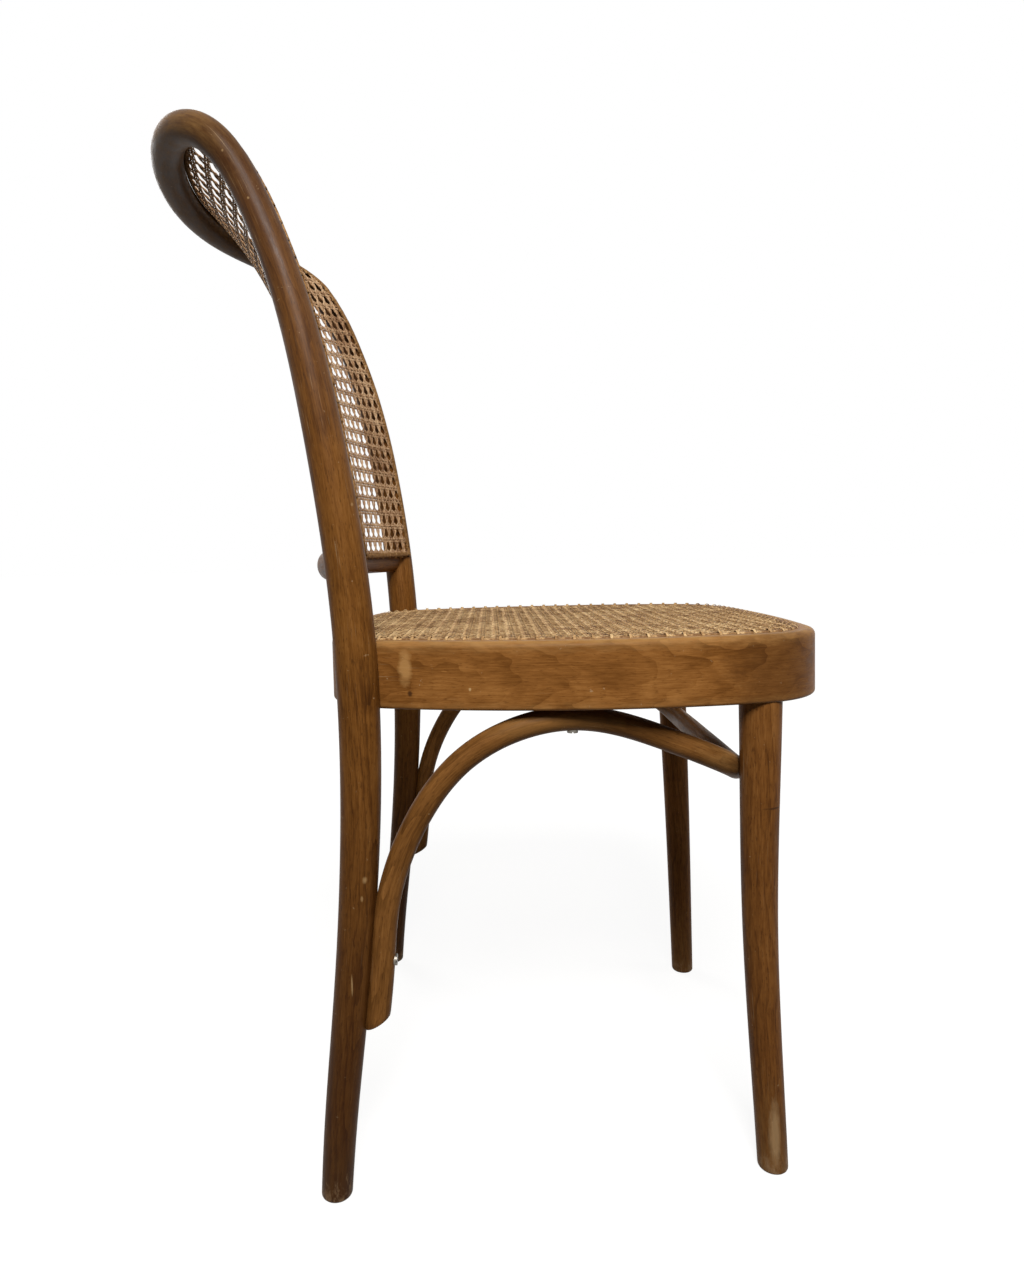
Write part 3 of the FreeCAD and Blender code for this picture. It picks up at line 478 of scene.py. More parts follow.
hoop = {
    "stations": [0.0, 100.0, 250.0, 400.0, 550.0, 680.0, 780.0, 840.0, 900.0, 962.5],
    "leans": [-3.8, -6.5, -4.2, 0.9, 6.8, 11.7, 20.9, 29.4, 64.5, 102.5],
    "widthStations": [0.0, 220.0, 455.0, 650.0, 900.0],
    "halfWidths": [203.5, 199.5, 194.0, 203.0, 194.5],
    "thickStations": [0.0, 200.0, 440.0, 640.0, 800.0, 962.5],
    "diameters": [25.6, 30.2, 34.5, 31.0, 26.0, 28.0],
    "footY": 103.5,
    "shoulder": 862.5,
    "length": 962.5,
    "overrun": 14.0,
    "step": 2.0,
    "placeStep": 0.004,
    "tableSteps": 2000,
    "footSteps": 6,
    "footRound": 3.0,
    "aboveFoot": (7.0, 12.0),    # heights of the first rings above the foot's rounded edge
    "levelTo": (12.0, 30.0),     # rings lie level below the first height, square to the rod above the second
    "worn": (0.25, (0.35, 880, 40), (0.25, 0, 60)),
    "rings": 300,
    "segments": 48,
}


def sideProfile():
    steps = int(math.ceil(hoop["length"] / hoop["step"]))
    lean = np.radians(smoothValue(hoop["stations"], hoop["leans"], (np.arange(steps) + 0.5) * hoop["step"]))
    y = hoop["footY"] + np.concatenate([[0], np.cumsum(np.sin(lean) * hoop["step"])])
    z = np.concatenate([[0], np.cumsum(np.cos(lean) * hoop["step"])])
    return np.arange(steps + 1) * hoop["step"], y, z


profileLength, profileY, profileZ = sideProfile()


def hoopLengthAt(place):
    # 0 is the crown, 1 the shoulder, and 2 a little below the foot
    place = np.abs(place)
    arch = hoop["shoulder"] + (hoop["length"] - hoop["shoulder"]) * np.cos(place * math.pi / 2)
    stile = hoop["shoulder"] - (place - 1) * (hoop["shoulder"] + hoop["overrun"])
    return np.where(place <= 1, arch, stile)


def hoopPoint(place):
    place = np.asarray(place, float)
    length = hoopLengthAt(place)
    x = smoothValue(hoop["widthStations"], hoop["halfWidths"], length)
    x = np.where(np.abs(place) < 1, x * np.sin(np.abs(place) * math.pi / 2), x)
    footLean = math.radians(hoop["leans"][0])
    under = np.minimum(length, 0)
    y = np.interp(length, profileLength, profileY) + under * math.sin(footLean)
    z = np.interp(length, profileLength, profileZ) + under * math.cos(footLean)
    return np.stack([np.copysign(x, place), y, z], axis=-1)


def hoopDirection(place):
    step = hoop["placeStep"]
    return unit(hoopPoint(np.asarray(place) + step) - hoopPoint(np.asarray(place) - step))


def hoopRadius(length):
    return 0.5 * smoothValue(hoop["thickStations"], hoop["diameters"], length)


stilePlaces = np.linspace(2, 1, hoop["tableSteps"])
stileHeights = hoopPoint(stilePlaces)[:, 2]


def placeAtHeight(z):
    return np.interp(z, stileHeights, stilePlaces)


def inFrame(points):
    # millimetres of the part's own drawing to metres of the frame
    return np.asarray(points, float) * millimetre + np.array([0, toMiddle, 0])


def roundedFoot(radius):
    # heights of the rings at a foot's rounded edge, and what each adds to the radius, which is below 0
    turn = np.linspace(0, math.pi / 2, hoop["footSteps"])
    return radius * (1 - np.cos(turn)), -radius * (1 - np.sin(turn))


def makeHoop():
    low, high = hoop["aboveFoot"]
    evenly = np.linspace(0, placeAtHeight(high), hoop["rings"] // 2)
    heights, shrink = roundedFoot(hoop["footRound"])
    edge = placeAtHeight(heights[::-1])
    side = np.concatenate([evenly, [placeAtHeight(low)], edge])
    cut = np.concatenate([np.zeros(len(evenly) + 1), shrink[::-1]])
    places = np.concatenate([-side[::-1], side[1:]])
    cuts = np.concatenate([cut[::-1], cut[1:]])
    centres = hoopPoint(places)
    lengths = hoopLengthAt(places)
    lean = np.radians(smoothValue(hoop["stations"], hoop["leans"], lengths))
    sides = np.stack([0 * lean, -np.cos(lean), np.sin(lean)], axis=1)
    alongs = hoopDirection(places)
    # near the floor the rings turn level
    level = 1 - np.clip(np.interp(centres[:, 2], hoop["levelTo"], (0, 1)), 0, 1)[:, None]
    alongs = unit(alongs * (1 - level) + np.sign(places)[:, None] * np.array([0, 0, -1.0]) * level)
    radii = hoopRadius(lengths) - underSkin + cuts
    worn = wearAlong(centres[:, 2], *hoop["worn"])
    piece = rodPiece("bentHoop", inFrame(centres), alongs, sides, radii * millimetre, stainedBeech, worn,
                     hoop["segments"])
    register(piece, "back_hoop")


makeHoop()
print("hoop made")


# Cane back: a hollow sheet from the rail's front to the crown

backSheet = {
    "lean": 22.0,
    "hollowMiddle": 46.0,
    "hollowShoulder": 52.0,
    "gap": 0.05,
    "bed": 1.2,
    "aboveRail": 4.0,
    "past": 40.0,            # how far the middle's curve runs on straight at both ends
    "edgeSteps": 24,
    "rimSteps": 160,
    "normalStep": 0.5,
    "tries": 12,             # steps towards the point at a given height
}
rail = {
    "z": 516.5,
    "height": 26.0,
    "depth": 20.0,
    "bow": 43.0,
    "underCane": 0.1,        # how far the rebate lies behind the cane's back face
    "worn": 0.3,
    "rings": 120,
    "segments": 64,
}
backLean = math.radians(backSheet["lean"])
backOut = np.array([0, -math.cos(backLean), math.sin(backLean)])
backUp = np.array([0, math.sin(backLean), math.cos(backLean)])


def edgeHollow(place):
    share = (hoopLengthAt(place) - rail["z"]) / (hoop["shoulder"] - rail["z"])
    share = np.clip(share, 0, 1)
    depth = rail["bow"] + share * (backSheet["hollowShoulder"] - rail["bow"])
    return depth / hoop["halfWidths"][3] ** 2


def edgePoint(place):
    centre = hoopPoint(place)
    along = hoopDirection(place)
    facing = backOut - np.stack([2 * edgeHollow(place) * centre[..., 0], 0 * centre[..., 0],
                                 0 * centre[..., 0]], axis=-1)
    facing = unit(facing - along * np.sum(facing * along, axis=-1, keepdims=True))
    reach = hoopRadius(hoopLengthAt(place)) + backSheet["gap"]
    return centre + facing * np.asarray(reach)[..., None]


stileAtRail = hoopPoint(placeAtHeight(rail["z"]))


def railCrest():
    above = backSheet["aboveRail"]
    depth = 0.5 * rail["depth"] * math.sqrt(1 - (2 * above / rail["height"]) ** 2)
    return np.array([0, stileAtRail[1] + rail["bow"] - depth + backSheet["bed"], rail["z"] + above])


bottomPlace = float(placeAtHeight(rail["z"] + backSheet["aboveRail"]))
edgePlaces = bottomPlace * (1 - np.arange(backSheet["edgeSteps"] + 1) / backSheet["edgeSteps"])
edgePoints = edgePoint(edgePlaces)
edgeUps = edgePoints @ backUp
edgeDepths = edgePoints @ backOut


def middleOfSheet():
    corners = [railCrest(), edgePoint(0.5 * (bottomPlace + 1)), edgePoint(1.0), edgePoint(0.0)]
    ups = [corner @ backUp for corner in corners]
    depths = [corner @ backOut for corner in corners]
    depths[1] -= backSheet["hollowMiddle"]
    depths[2] -= backSheet["hollowShoulder"]
    past = backSheet["past"]
    first = (depths[1] - depths[0]) / (ups[1] - ups[0])
    last = (depths[3] - depths[2]) / (ups[3] - ups[2])
    ups = [ups[0] - past] + ups + [ups[3] + past]
    depths = [depths[0] - past * first] + depths + [depths[3] + past * last]
    return ups, depths


middleUps, middleDepths = middleOfSheet()
hollows = (edgeDepths[:-1] - smoothValue(middleUps, middleDepths, edgeUps[:-1])) / edgePoints[:-1, 0] ** 2
hollows = np.append(hollows, hollows[-1])


def sheetPoint(x, up):
    # a point of the cane sheet's back face
    depth = smoothValue(middleUps, middleDepths, up) + smoothValue(edgeUps, hollows, up) * x * x
    across = np.stack([x, 0 * x, 0 * x], axis=-1)
    return across + up[..., None] * backUp + depth[..., None] * backOut


def sheetNormal(x, up):
    step = backSheet["normalStep"]
    alongX = sheetPoint(x + step, up) - sheetPoint(x - step, up)
    alongUp = sheetPoint(x, up + step) - sheetPoint(x, up - step)
    return unit(np.cross(alongX, alongUp))


# Lower back rail: an oval bent rod, rebated on its front where the cane lies

def makeRail():
    radius = (stileAtRail[0] ** 2 + rail["bow"] ** 2) / (2 * rail["bow"])
    centre = np.array([0, stileAtRail[1] + rail["bow"] - radius, rail["z"]])
    angle = math.asin(stileAtRail[0] / radius)
    turn = np.linspace(-angle, angle, rail["rings"])
    centres = centre + radius * np.stack([np.sin(turn), np.cos(turn), 0 * turn], axis=1)
    alongs = np.stack([np.cos(turn), -np.sin(turn), 0 * turn], axis=1)
    piece = rodPiece("lowerRail", inFrame(centres), alongs, (0, 0, 1.0),
                     0.5 * rail["height"] * millimetre, stainedBeech, rail["worn"], rail["segments"],
                     0.5 * rail["depth"] * millimetre)
    # the rebate: no wood stands in front of the cane's back face
    points = pointsOf(piece) / millimetre - [0, toMiddle / millimetre, 0]
    x = points[:, 0]
    up = points @ backUp
    floorDepth = sheetPoint(x, up) @ backOut
    bottomUp = np.interp(np.abs(x), [0, stileAtRail[0]], [railCrest() @ backUp, edgeUps[0]])
    past = points @ backOut - floorDepth + rail["underCane"]
    tooFar = (up > bottomUp) & (past > 0)
    points[tooFar] -= np.outer(past[tooFar], backOut)
    movePoints(piece, inFrame(points))
    register(piece, "lower_back_rail")


makeRail()
print("rail made")


# Seat ring: its plan is four wide arcs joined by corner arcs

ring = {
    "top": 455.0,
    "height": 55.2,
    "wall": 31.0,
    "halfWidth": 213.0,
    "widestY": -110.0,
    "frontY": -318.6,
    "rearY": 116.0,
    "frontRadius": 1250.0,
    "sideRadius": 600.0,
    "rearRadius": 900.0,
    "frontCorner": 82.5,
    "rearCorner": 76.0,
    "topRound": 5.5,
    "bottomRound": 3.0,
    "roundSteps": 7,
    "sideRows": (0.2, 0.4, 0.6, 0.75),                     # shares of the height
    # the top's wear is partly rubbed varnish and partly painted highlight on the lit top
    "topRowsWornAndLit": ((8.5, 1.0), (11.0, 0.7), (13.5, 0.3)),     # insets, and how worn the top is there
    "underRow": 15.0,
    "innerRow": 20.0,
    "innerEdge": 1.0,
    "grooveEdge": 0.4,
    "caneInset": 14.0,
    "caneThickness": 1.6,
    "step": 5.0,
}


def circleCrossing(first, firstRadius, second, secondRadius, forwards):
    apart = second - first
    distance = np.linalg.norm(apart)
    along = (distance ** 2 + firstRadius ** 2 - secondRadius ** 2) / (2 * distance)
    across = math.sqrt(firstRadius ** 2 - along ** 2)
    way = apart / distance
    ends = sorted([first + way * along + leftOf(way) * turn * across for turn in (1, -1)],
                  key=lambda point: point[1])
    return ends[0] if forwards else ends[1]


def ringPlan(step):
    # centres of curvature, outward directions, radii and lengths of points round the ring's plan
    front = np.array([0, ring["frontY"] + ring["frontRadius"]])
    rear = np.array([0, ring["rearY"] - ring["rearRadius"]])
    side = np.array([ring["halfWidth"] - ring["sideRadius"], ring["widestY"]])
    frontCorner = circleCrossing(front, ring["frontRadius"] - ring["frontCorner"],
                                 side, ring["sideRadius"] - ring["frontCorner"], True)
    rearCorner = circleCrossing(rear, ring["rearRadius"] - ring["rearCorner"],
                                side, ring["sideRadius"] - ring["rearCorner"], False)
    bearings = [math.atan2(*(corner - middle)[::-1]) for middle, corner in (
        (front, frontCorner), (side, frontCorner), (side, rearCorner), (rear, rearCorner))]
    ends = [-math.pi / 2, *bearings, math.pi / 2]
    arcs = [(front, ring["frontRadius"]), (frontCorner, ring["frontCorner"]), (side, ring["sideRadius"]),
            (rearCorner, ring["rearCorner"]), (rear, ring["rearRadius"])]
    rows = []
    for (centre, radius), start, end in zip(arcs, ends, ends[1:]):
        count = max(int(abs(end - start) * radius / step), 2)
        rows += [(*centre, turn, radius) for turn in np.linspace(start, end, count, endpoint=False)]
    half = np.array(rows + [(*rear, math.pi / 2, ring["rearRadius"])])
    # the other side is its mirror image
    other = half[-2:0:-1] * [-1, 1, -1, 1] + [0, 0, math.pi, 0]
    x, y, angles, radii = np.vstack([half, other]).T
    return np.stack([x, y], axis=1), angles, radii


def planPoints(inset, step):
    centres, angles, radii = ringPlan(step)
    return centres + (radii - inset)[:, None] * np.stack([np.cos(angles), np.sin(angles)], axis=1)


def ringProfile():
    # inset from the outer face, height and wear of the points round the ring's section
    top, bottom = ring["top"], ring["top"] - ring["height"]
    bed = top - ring["caneThickness"]
    groove, wall, edge = ring["caneInset"], ring["wall"], ring["innerEdge"]
    turn = np.linspace(0, math.pi / 2, ring["roundSteps"])
    low, high = ring["bottomRound"], ring["topRound"]
    rows = [(low * (1 - math.cos(t)), bottom + low * (1 - math.sin(t)), 0.5) for t in turn[::-1]]
    rows += [(0, bottom + ring["height"] * share, 0.12) for share in ring["sideRows"]]
    # the wear rising over the top's rounded edge is partly rubbed varnish and partly painted highlight
    rows += [(high * (1 - math.cos(t)), top - high * (1 - math.sin(t)), 0.55 + 0.5 * t) for t in turn]
    rows += [(inset, top, worn) for inset, worn in ring["topRowsWornAndLit"]]
    rows += [(groove, top - ring["grooveEdge"], 0.2), (groove, bed, 0), (wall - edge, bed, 0),
             (wall, bed - edge, 0), (wall, bottom + ring["innerRow"], 0), (wall, bottom + edge, 0.1),
             (wall - edge, bottom, 0.1), (ring["underRow"], bottom, 0)]
    return rows


def makeRing():
    centres, angles, radii = ringPlan(ring["step"])
    radii = radii - underSkin
    ways = np.stack([np.cos(angles), np.sin(angles)], axis=1)
    outer = centres + radii[:, None] * ways
    lengths = lengthsAlong(outer)
    profile = np.array(ringProfile())
    inset, height, wear = profile.T
    plan = centres[:, None, :] + (radii[:, None] - inset[None, :])[:, :, None] * ways[:, None, :]
    points = np.concatenate([plan, np.tile(height[None, :, None], (len(plan), 1, 1))], axis=2)
    middle = ring["top"] - 0.5 * ring["height"]
    # the grain runs along the bent plank; its two ends meet at the front
    straight = np.stack([np.tile(lengths[:, None], (1, len(inset))),
                         np.tile(-inset[None, :], (len(plan), 1)),
                         np.tile(height[None, :] - middle, (len(plan), 1))], axis=2)
    piece = meshPiece("bentSeatRing", inFrame(points.reshape(-1, 3)),
                      ringFaces(len(plan), len(inset), closedLoop=True),
                      {"grainPlace": straight.reshape(-1, 3) * millimetre,
                       "worn": np.tile(wear, len(plan))}, ringBeech)
    outwardFaces(piece)
    register(piece, "seat_ring")


makeRing()
print("ring made")


# Front legs: turned rods with rounded feet. They end just inside the ring, where the solids have tenons.

frontLeg = {
    "heights": [0.0, 200.0, 399.8],
    "x": [171.5, 161.5, 176.0],
    "y": [-262.0, -255.5, -252.0],
    "diameters": [24.8, 28.7, 34.2],
    "rings": 90,
    "intoRing": 3.0,
    "worn": (0.25, (0.3, 0, 60)),
}


def makeFrontLeg(name, node, side):
    heights, shrink = roundedFoot(hoop["footRound"])
    top = frontLeg["heights"][-1]
    low, high = hoop["aboveFoot"]
    z = np.concatenate([heights, [low], np.linspace(high, top + frontLeg["intoRing"], frontLeg["rings"])])
    cut = np.concatenate([shrink, np.zeros(frontLeg["rings"] + 1)])
    x = side * smoothValue(frontLeg["heights"], frontLeg["x"], z)
    y = smoothValue(frontLeg["heights"], frontLeg["y"], z)
    radii = 0.5 * smoothValue(frontLeg["heights"], frontLeg["diameters"], z) + cut
    centres = np.stack([x, y, z], axis=1)
    worn = wearAlong(z, *frontLeg["worn"])
    piece = rodPiece(name, inFrame(centres), (0, 0, 1.0), (0, -1.0, 0), radii * millimetre, legBeech, worn)
    register(piece, node)


makeFrontLeg("turnedLegLeft", "front_leg_left", 1)
makeFrontLeg("turnedLegRight", "front_leg_right", -1)
print("front legs made")


# Brace: one rod from a rear leg over an arch, behind the front legs and back the same way

brace = {
    "diameter": 20.0,
    "endZ": 144.0,
    "endSlant": 28.0,
    "seamZ": 236.0,
    "haunch": (30.0, 309.0),
    "shoulder": (-11.0, 359.5),
    "crestY": -88.0,
    "slope": (-170.2, 370.0),
    "cross": (-245.7, 331.1),
    "corner": 48.0,
    "crestX": 191.0,
    "haunchSpread": 2.0,
    "sideX": 171.5,
    "bite": 1.5,
    "ringGap": 0.2,
    "cornerFall": 0.29,
    "endRound": 2.5,
    "endRings": 4,
    "slantReach": 26.0,
    "worn": (0.2, (0.35, -225, 25)),
    "rings": 420,
    "segments": 36,
}


def besideLeg(z):
    centre = hoopPoint(placeAtHeight(z))
    reach = hoopRadius(hoopLengthAt(placeAtHeight(z))) + 0.5 * brace["diameter"] - brace["bite"]
    return centre - np.array([0, reach, 0])


def bracePoints():
    crestZ = ring["top"] - ring["height"] - 0.5 * brace["diameter"] - brace["ringGap"]
    crossY, crossZ = brace["cross"]
    bend = brace["corner"]
    slanted = math.sqrt(0.5) * bend
    sideX = brace["sideX"]
    half = [
        besideLeg(brace["endZ"]),
        besideLeg(0.5 * (brace["endZ"] + brace["seamZ"])),
        besideLeg(brace["seamZ"]),
        np.array([0.5 * (brace["crestX"] + hoop["halfWidths"][1]), *brace["haunch"]]),
        np.array([brace["crestX"] + brace["haunchSpread"], *brace["shoulder"]]),
        np.array([brace["crestX"], brace["crestY"], crestZ]),
        np.array([sideX, *brace["slope"]]),
        np.array([sideX - bend + slanted, crossY + bend - slanted,
                  crossZ + brace["cornerFall"] * (brace["slope"][1] - crossZ)]),
        np.array([sideX - bend, crossY, crossZ]),
        np.array([0.5 * (sideX - bend), crossY, crossZ]),
    ]
    return np.array(half + [np.array([0, crossY, crossZ])] + [p * [-1, 1, 1] for p in half[::-1]])


def splineThrough(points, count):
    # a natural cubic spline by chord length, sampled evenly
    t = lengthsAlong(points)
    h = np.diff(t)
    size = len(points)
    matrix = np.eye(size)
    right = np.zeros((size, 3))
    for i in range(1, size - 1):
        matrix[i, i - 1:i + 2] = [h[i - 1], 2 * (h[i - 1] + h[i]), h[i]]
        right[i] = 6 * ((points[i + 1] - points[i]) / h[i] - (points[i] - points[i - 1]) / h[i - 1])
    bends = np.linalg.solve(matrix, right)
    s = np.linspace(0, t[-1], count)
    i = np.clip(np.searchsorted(t, s, side="right") - 1, 0, size - 2)
    u = (s - t[i])[:, None]
    w = (t[i + 1] - s)[:, None]
    g = h[i][:, None]
    return (bends[i] * w ** 3 + bends[i + 1] * u ** 3) / (6 * g) + \
        (points[i] / g - bends[i] * g / 6) * w + (points[i + 1] / g - bends[i + 1] * g / 6) * u


def makeBrace():
    centres = splineThrough(bracePoints(), brace["rings"])
    alongs = unit(np.gradient(centres, axis=0))
    outward = centres * [1, 1, 0] - [0, brace["crestY"], 0]
    radius = 0.5 * brace["diameter"]
    # rounded ends: a few more rings inside the last ones
    extra = brace["endRings"]
    turn = np.linspace(0, math.pi / 2, extra + 1)[:-1]
    cut = brace["endRound"] * (1 - np.sin(turn))
    back = brace["endRound"] * (1 - np.cos(turn))
    near = centres[0] + alongs[0] * back[:, None]
    far = centres[-1] - alongs[-1] * back[::-1, None]
    centres = np.concatenate([near, centres[2:-2], far])
    rings = [0] * extra + list(range(2, brace["rings"] - 2)) + [-1] * extra
    radii = radius - np.concatenate([cut, np.zeros(len(centres) - 2 * extra), cut[::-1]])
    alongs = alongs[rings]
    piece = rodPiece("bentBrace", inFrame(centres), alongs, outward[rings], radii * millimetre, braceBeech,
                     wearAlong(centres[:, 1], *brace["worn"]), brace["segments"])
    # both ends are cut at a slant, lower on the side that lies against the leg
    slant = math.radians(brace["endSlant"])
    normal = np.array([0, math.sin(slant), math.cos(slant)])
    points = pointsOf(piece)
    reach = brace["slantReach"] * millimetre
    for end in (0, -1):
        start = inFrame(centres[end])
        way = alongs[end] * (1 if end == 0 else -1)
        offset = points - start
        distance = offset @ way
        here = (distance < reach) & (np.linalg.norm(offset, axis=1) < reach * 1.6)
        flat = offset - np.outer(distance, way)
        slide = -(flat @ normal) / (way @ normal) * np.clip(1 - distance / reach, 0, 1)
        points[here] += np.outer(slide[here], way)
    movePoints(piece, points)
    register(piece, "brace")


makeBrace()
print("brace made")


# Woven cane: pairs of strands both ways, with one diagonal strand each way over and under them.
# The paths of the strands are laid out flat, and a node tree makes ribbons along them.

weave = {
    "pairGap": 0.095,          # half the distance between a pair's strands, as a share of the pitch
    "pairWidth": 2.3,
    "pairLift": 0.5,           # lifts are in strand thicknesses, from the middle of the weave
    "pairBetween": (0.3, 0.5, 0.7),
    "diagonalWidth": 2.0,
    "diagonalLift": 1.1,
    "diagonalAt": (-0.13, 0.13, 0.37, 0.63),
    "strandThickness": 0.62,
    "ovalSides": 6,
    "seatPitch": (12.7, 12.7),
    "seatLevel": 1.25,         # height of the weave's middle above the ring's bed
    "backPitch": (12.8, 16.0),
    "backLevel": 0.95,         # the same, above the sheet's back face
    "backPairAt": 702.0,       # the height of one of the back's level pairs
    "sag": 0.112,              # how far the level pairs hang, per mm of height above the next value
    "sagFrom": 632.0,
    "underBinding": 2.5,       # the strands end this far inside the sheet's edge
    "shortest": 6.0,
    "endRoom": 1.0,
}


def crossings(start, way, outline):
    # how far along a straight line it enters and leaves a closed outline
    after = np.roll(outline, -1, axis=0)
    square = leftOf(way)
    a = (outline - start) @ square
    b = (after - start) @ square
    hit = (a > 0) != (b > 0)
    share = a[hit] / (a[hit] - b[hit])
    points = outline[hit] + share[:, None] * (after[hit] - outline[hit])
    along = (points - start) @ way
    return (along.min(), along.max()) if len(along) > 1 else None


def strandPath(kind, row, side, cells, pitch):
    # the flat points of one strand, and its lift at each
    if kind == "diagonal":
        # side 0 runs to the right going up, side 1 to the left
        turn = -1 if side else 1
        u = (cells[:, None] + np.array(weave["diagonalAt"])).ravel()
        lift = np.tile(np.array([1, 1, -1, -1]) * weave["diagonalLift"] * turn, len(cells))
        return np.stack([u, turn * (u - row - 0.5)], axis=1) * pitch, lift
    gap = weave["pairGap"]
    sign = weave["pairLift"] if kind == "warp" else -weave["pairLift"]
    first = np.where((row + cells + side) % 2 == 0, sign, -sign)
    v = (cells[:, None] + np.array([-gap, gap, *weave["pairBetween"]])).ravel()
    lift = np.stack([first, -first, 0 * first, 0 * first, 0 * first], axis=1).ravel()
    across = np.full(len(v), row + (gap if side else -gap))
    return np.stack([across, v] if kind == "warp" else [v, across], axis=1) * pitch, lift


def strandSet(kind, pitch, outline, middle):
    # points and lifts of each strand inside an outline; kind is warp, weft or diagonal
    reach = int(max(outline.max(0) - outline.min(0)) / min(pitch)) + 2
    cells = np.arange(-reach, reach + 1)
    strands = []
    for row in cells:
        for side in (0, 1):
            flat, lift = strandPath(kind, row, side, cells, pitch)
            flat = flat + middle
            way = unit(flat[-1] - flat[0])
            ends = crossings(flat[0], way, outline)
            if ends is None or ends[1] - ends[0] < weave["shortest"]:
                continue
            along = (flat - flat[0]) @ way
            inside = (along > ends[0] + weave["endRoom"]) & (along < ends[1] - weave["endRoom"])
            points = np.vstack([flat[0] + way * ends[0], flat[inside], flat[0] + way * ends[1]])
            lifts = np.concatenate([[0.0], lift[inside], [0.0]]) * weave["strandThickness"]
            strands.append((points, lifts))
    return strands


def nodeGroup(name, inputs):
    # a geometry tree with named inputs, whose paths come from the object's edges
    tree = bpy.data.node_groups.new(name, "GeometryNodeTree")
    socket = tree.interface.new_socket
    socket("Geometry", in_out="INPUT", socket_type="NodeSocketGeometry")
    keys = {key: socket(key, in_out="INPUT", socket_type="NodeSocketFloat").identifier for key in inputs}
    socket("Geometry", in_out="OUTPUT", socket_type="NodeSocketGeometry")
    source = addNode(tree, "NodeGroupInput")
    path = addNode(tree, "GeometryNodeMeshToCurve", {"Mesh": (source, "Geometry")})
    return tree, source, path, keys


def ovalAlong(tree, source, curve):
    # a smooth closed ribbon of oval section along a curve
    halves = [addNode(tree, "ShaderNodeMath", ((source, key), 0.5), operation="MULTIPLY")
              for key in ("Width", "Thickness")]
    size = addNode(tree, "ShaderNodeCombineXYZ", (*halves, 1.0))
    circle = addNode(tree, "GeometryNodeCurvePrimitiveCircle", {
        "Resolution": weave["ovalSides"], "Radius": 1.0})
    oval = addNode(tree, "GeometryNodeTransform", {"Geometry": circle, "Scale": size})
    ribbon = addNode(tree, "GeometryNodeCurveToMesh", {
        "Curve": curve, "Profile Curve": oval, "Fill Caps": True})
    return addNode(tree, "GeometryNodeSetShadeSmooth", {"Geometry": ribbon})


def closeGroup(tree, geometry, material):
    real = addNode(tree, "GeometryNodeRealizeInstances", {"Geometry": geometry})
    finish = addNode(tree, "GeometryNodeSetMaterial", {"Geometry": real, "Material": material})
    addNode(tree, "NodeGroupOutput", {"Geometry": finish})


def ribbonTree(material):
    tree, source, path, keys = nodeGroup("strandRibbons", ("Width", "Thickness"))
    level = addNode(tree, "GeometryNodeSetCurveNormal", {"Curve": path}, mode="Z_UP")
    closeGroup(tree, ovalAlong(tree, source, level), material)
    return tree, keys


def grownPiece(name, points, edges, tones, group, sizes, place):
    # what a node tree grows along flat paths, as a plain mesh, carried to its place in the frame
    mesh = bpy.data.meshes.new(name)
    mesh.from_pydata(points, edges, [])
    mesh.attributes.new("strandTone", "FLOAT", "POINT").data.foreach_set("value", tones)
    piece = bpy.data.objects.new(name, mesh)
    bpy.context.collection.objects.link(piece)
    tree, keys = group
    modifier = piece.modifiers.new("grow", "NODES")
    modifier.node_group = tree
    for key, value in sizes.items():
        modifier[keys[key]] = value * millimetre
    bpy.context.view_layer.update()
    depsgraph = bpy.context.evaluated_depsgraph_get()
    piece.data = bpy.data.meshes.new_from_object(
        piece.evaluated_get(depsgraph), preserve_all_data_layers=True, depsgraph=depsgraph)
    piece.modifiers.remove(modifier)
    bpy.data.meshes.remove(mesh)
    movePoints(piece, inFrame(place(pointsOf(piece) / millimetre)))
    print(piece.name, len(piece.data.polygons), "faces")
    return piece


def strandPiece(name, strands, width, material, place, node):
    points, edges, tones = [], [], []
    for flat, lifts in strands:
        start = len(points)
        points += [(x * millimetre, y * millimetre, lift * millimetre) for (x, y), lift in zip(flat, lifts)]
        edges += [(start + k, start + k + 1) for k in range(len(flat) - 1)]
        tones += [rng.random()] * len(flat)
    sizes = {"Width": width, "Thickness": weave["strandThickness"]}
    piece = grownPiece(name, points, edges, np.array(tones), ribbonTree(material), sizes, place)
    register(piece, node)


def onSeat(points):
    return points + [0, 0, ring["top"] - ring["caneThickness"] + weave["seatLevel"]]


def onBack(points):
    # x across, y up the sheet, and z out from the middle of its thickness towards the sitter
    x, up, lift = points.T
    return sheetPoint(x, up) + sheetNormal(x, up) * (lift + weave["backLevel"])[:, None]


def sagShare(x):
    return weave["sag"] * np.clip(1 - (x / edgePoints[:, 0].max()) ** 2, 0, 1)


def rowAt(x, z):
    # the level pairs of the back hang a little towards the middle: along one pair this stays the same
    return z + np.maximum(z - weave["sagFrom"], 0) * sagShare(x)


def onBackRows(points):
    # x across, y the row as above, and z out from the middle of the sheet
    x, row, lift = points.T
    over = np.maximum(row - weave["sagFrom"], 0)
    z = row - over + over / (1 + sagShare(x))
    up = z / backUp[2]
    for _ in range(backSheet["tries"]):
        up = up + (z - sheetPoint(x, up)[:, 2]) / backUp[2]
    return onBack(np.stack([x, up, lift], axis=1))


def bottomUpAt(x):
    middle = railCrest() @ backUp
    return middle + (edgeUps[0] - middle) * (x / edgePoints[0, 0]) ** 2


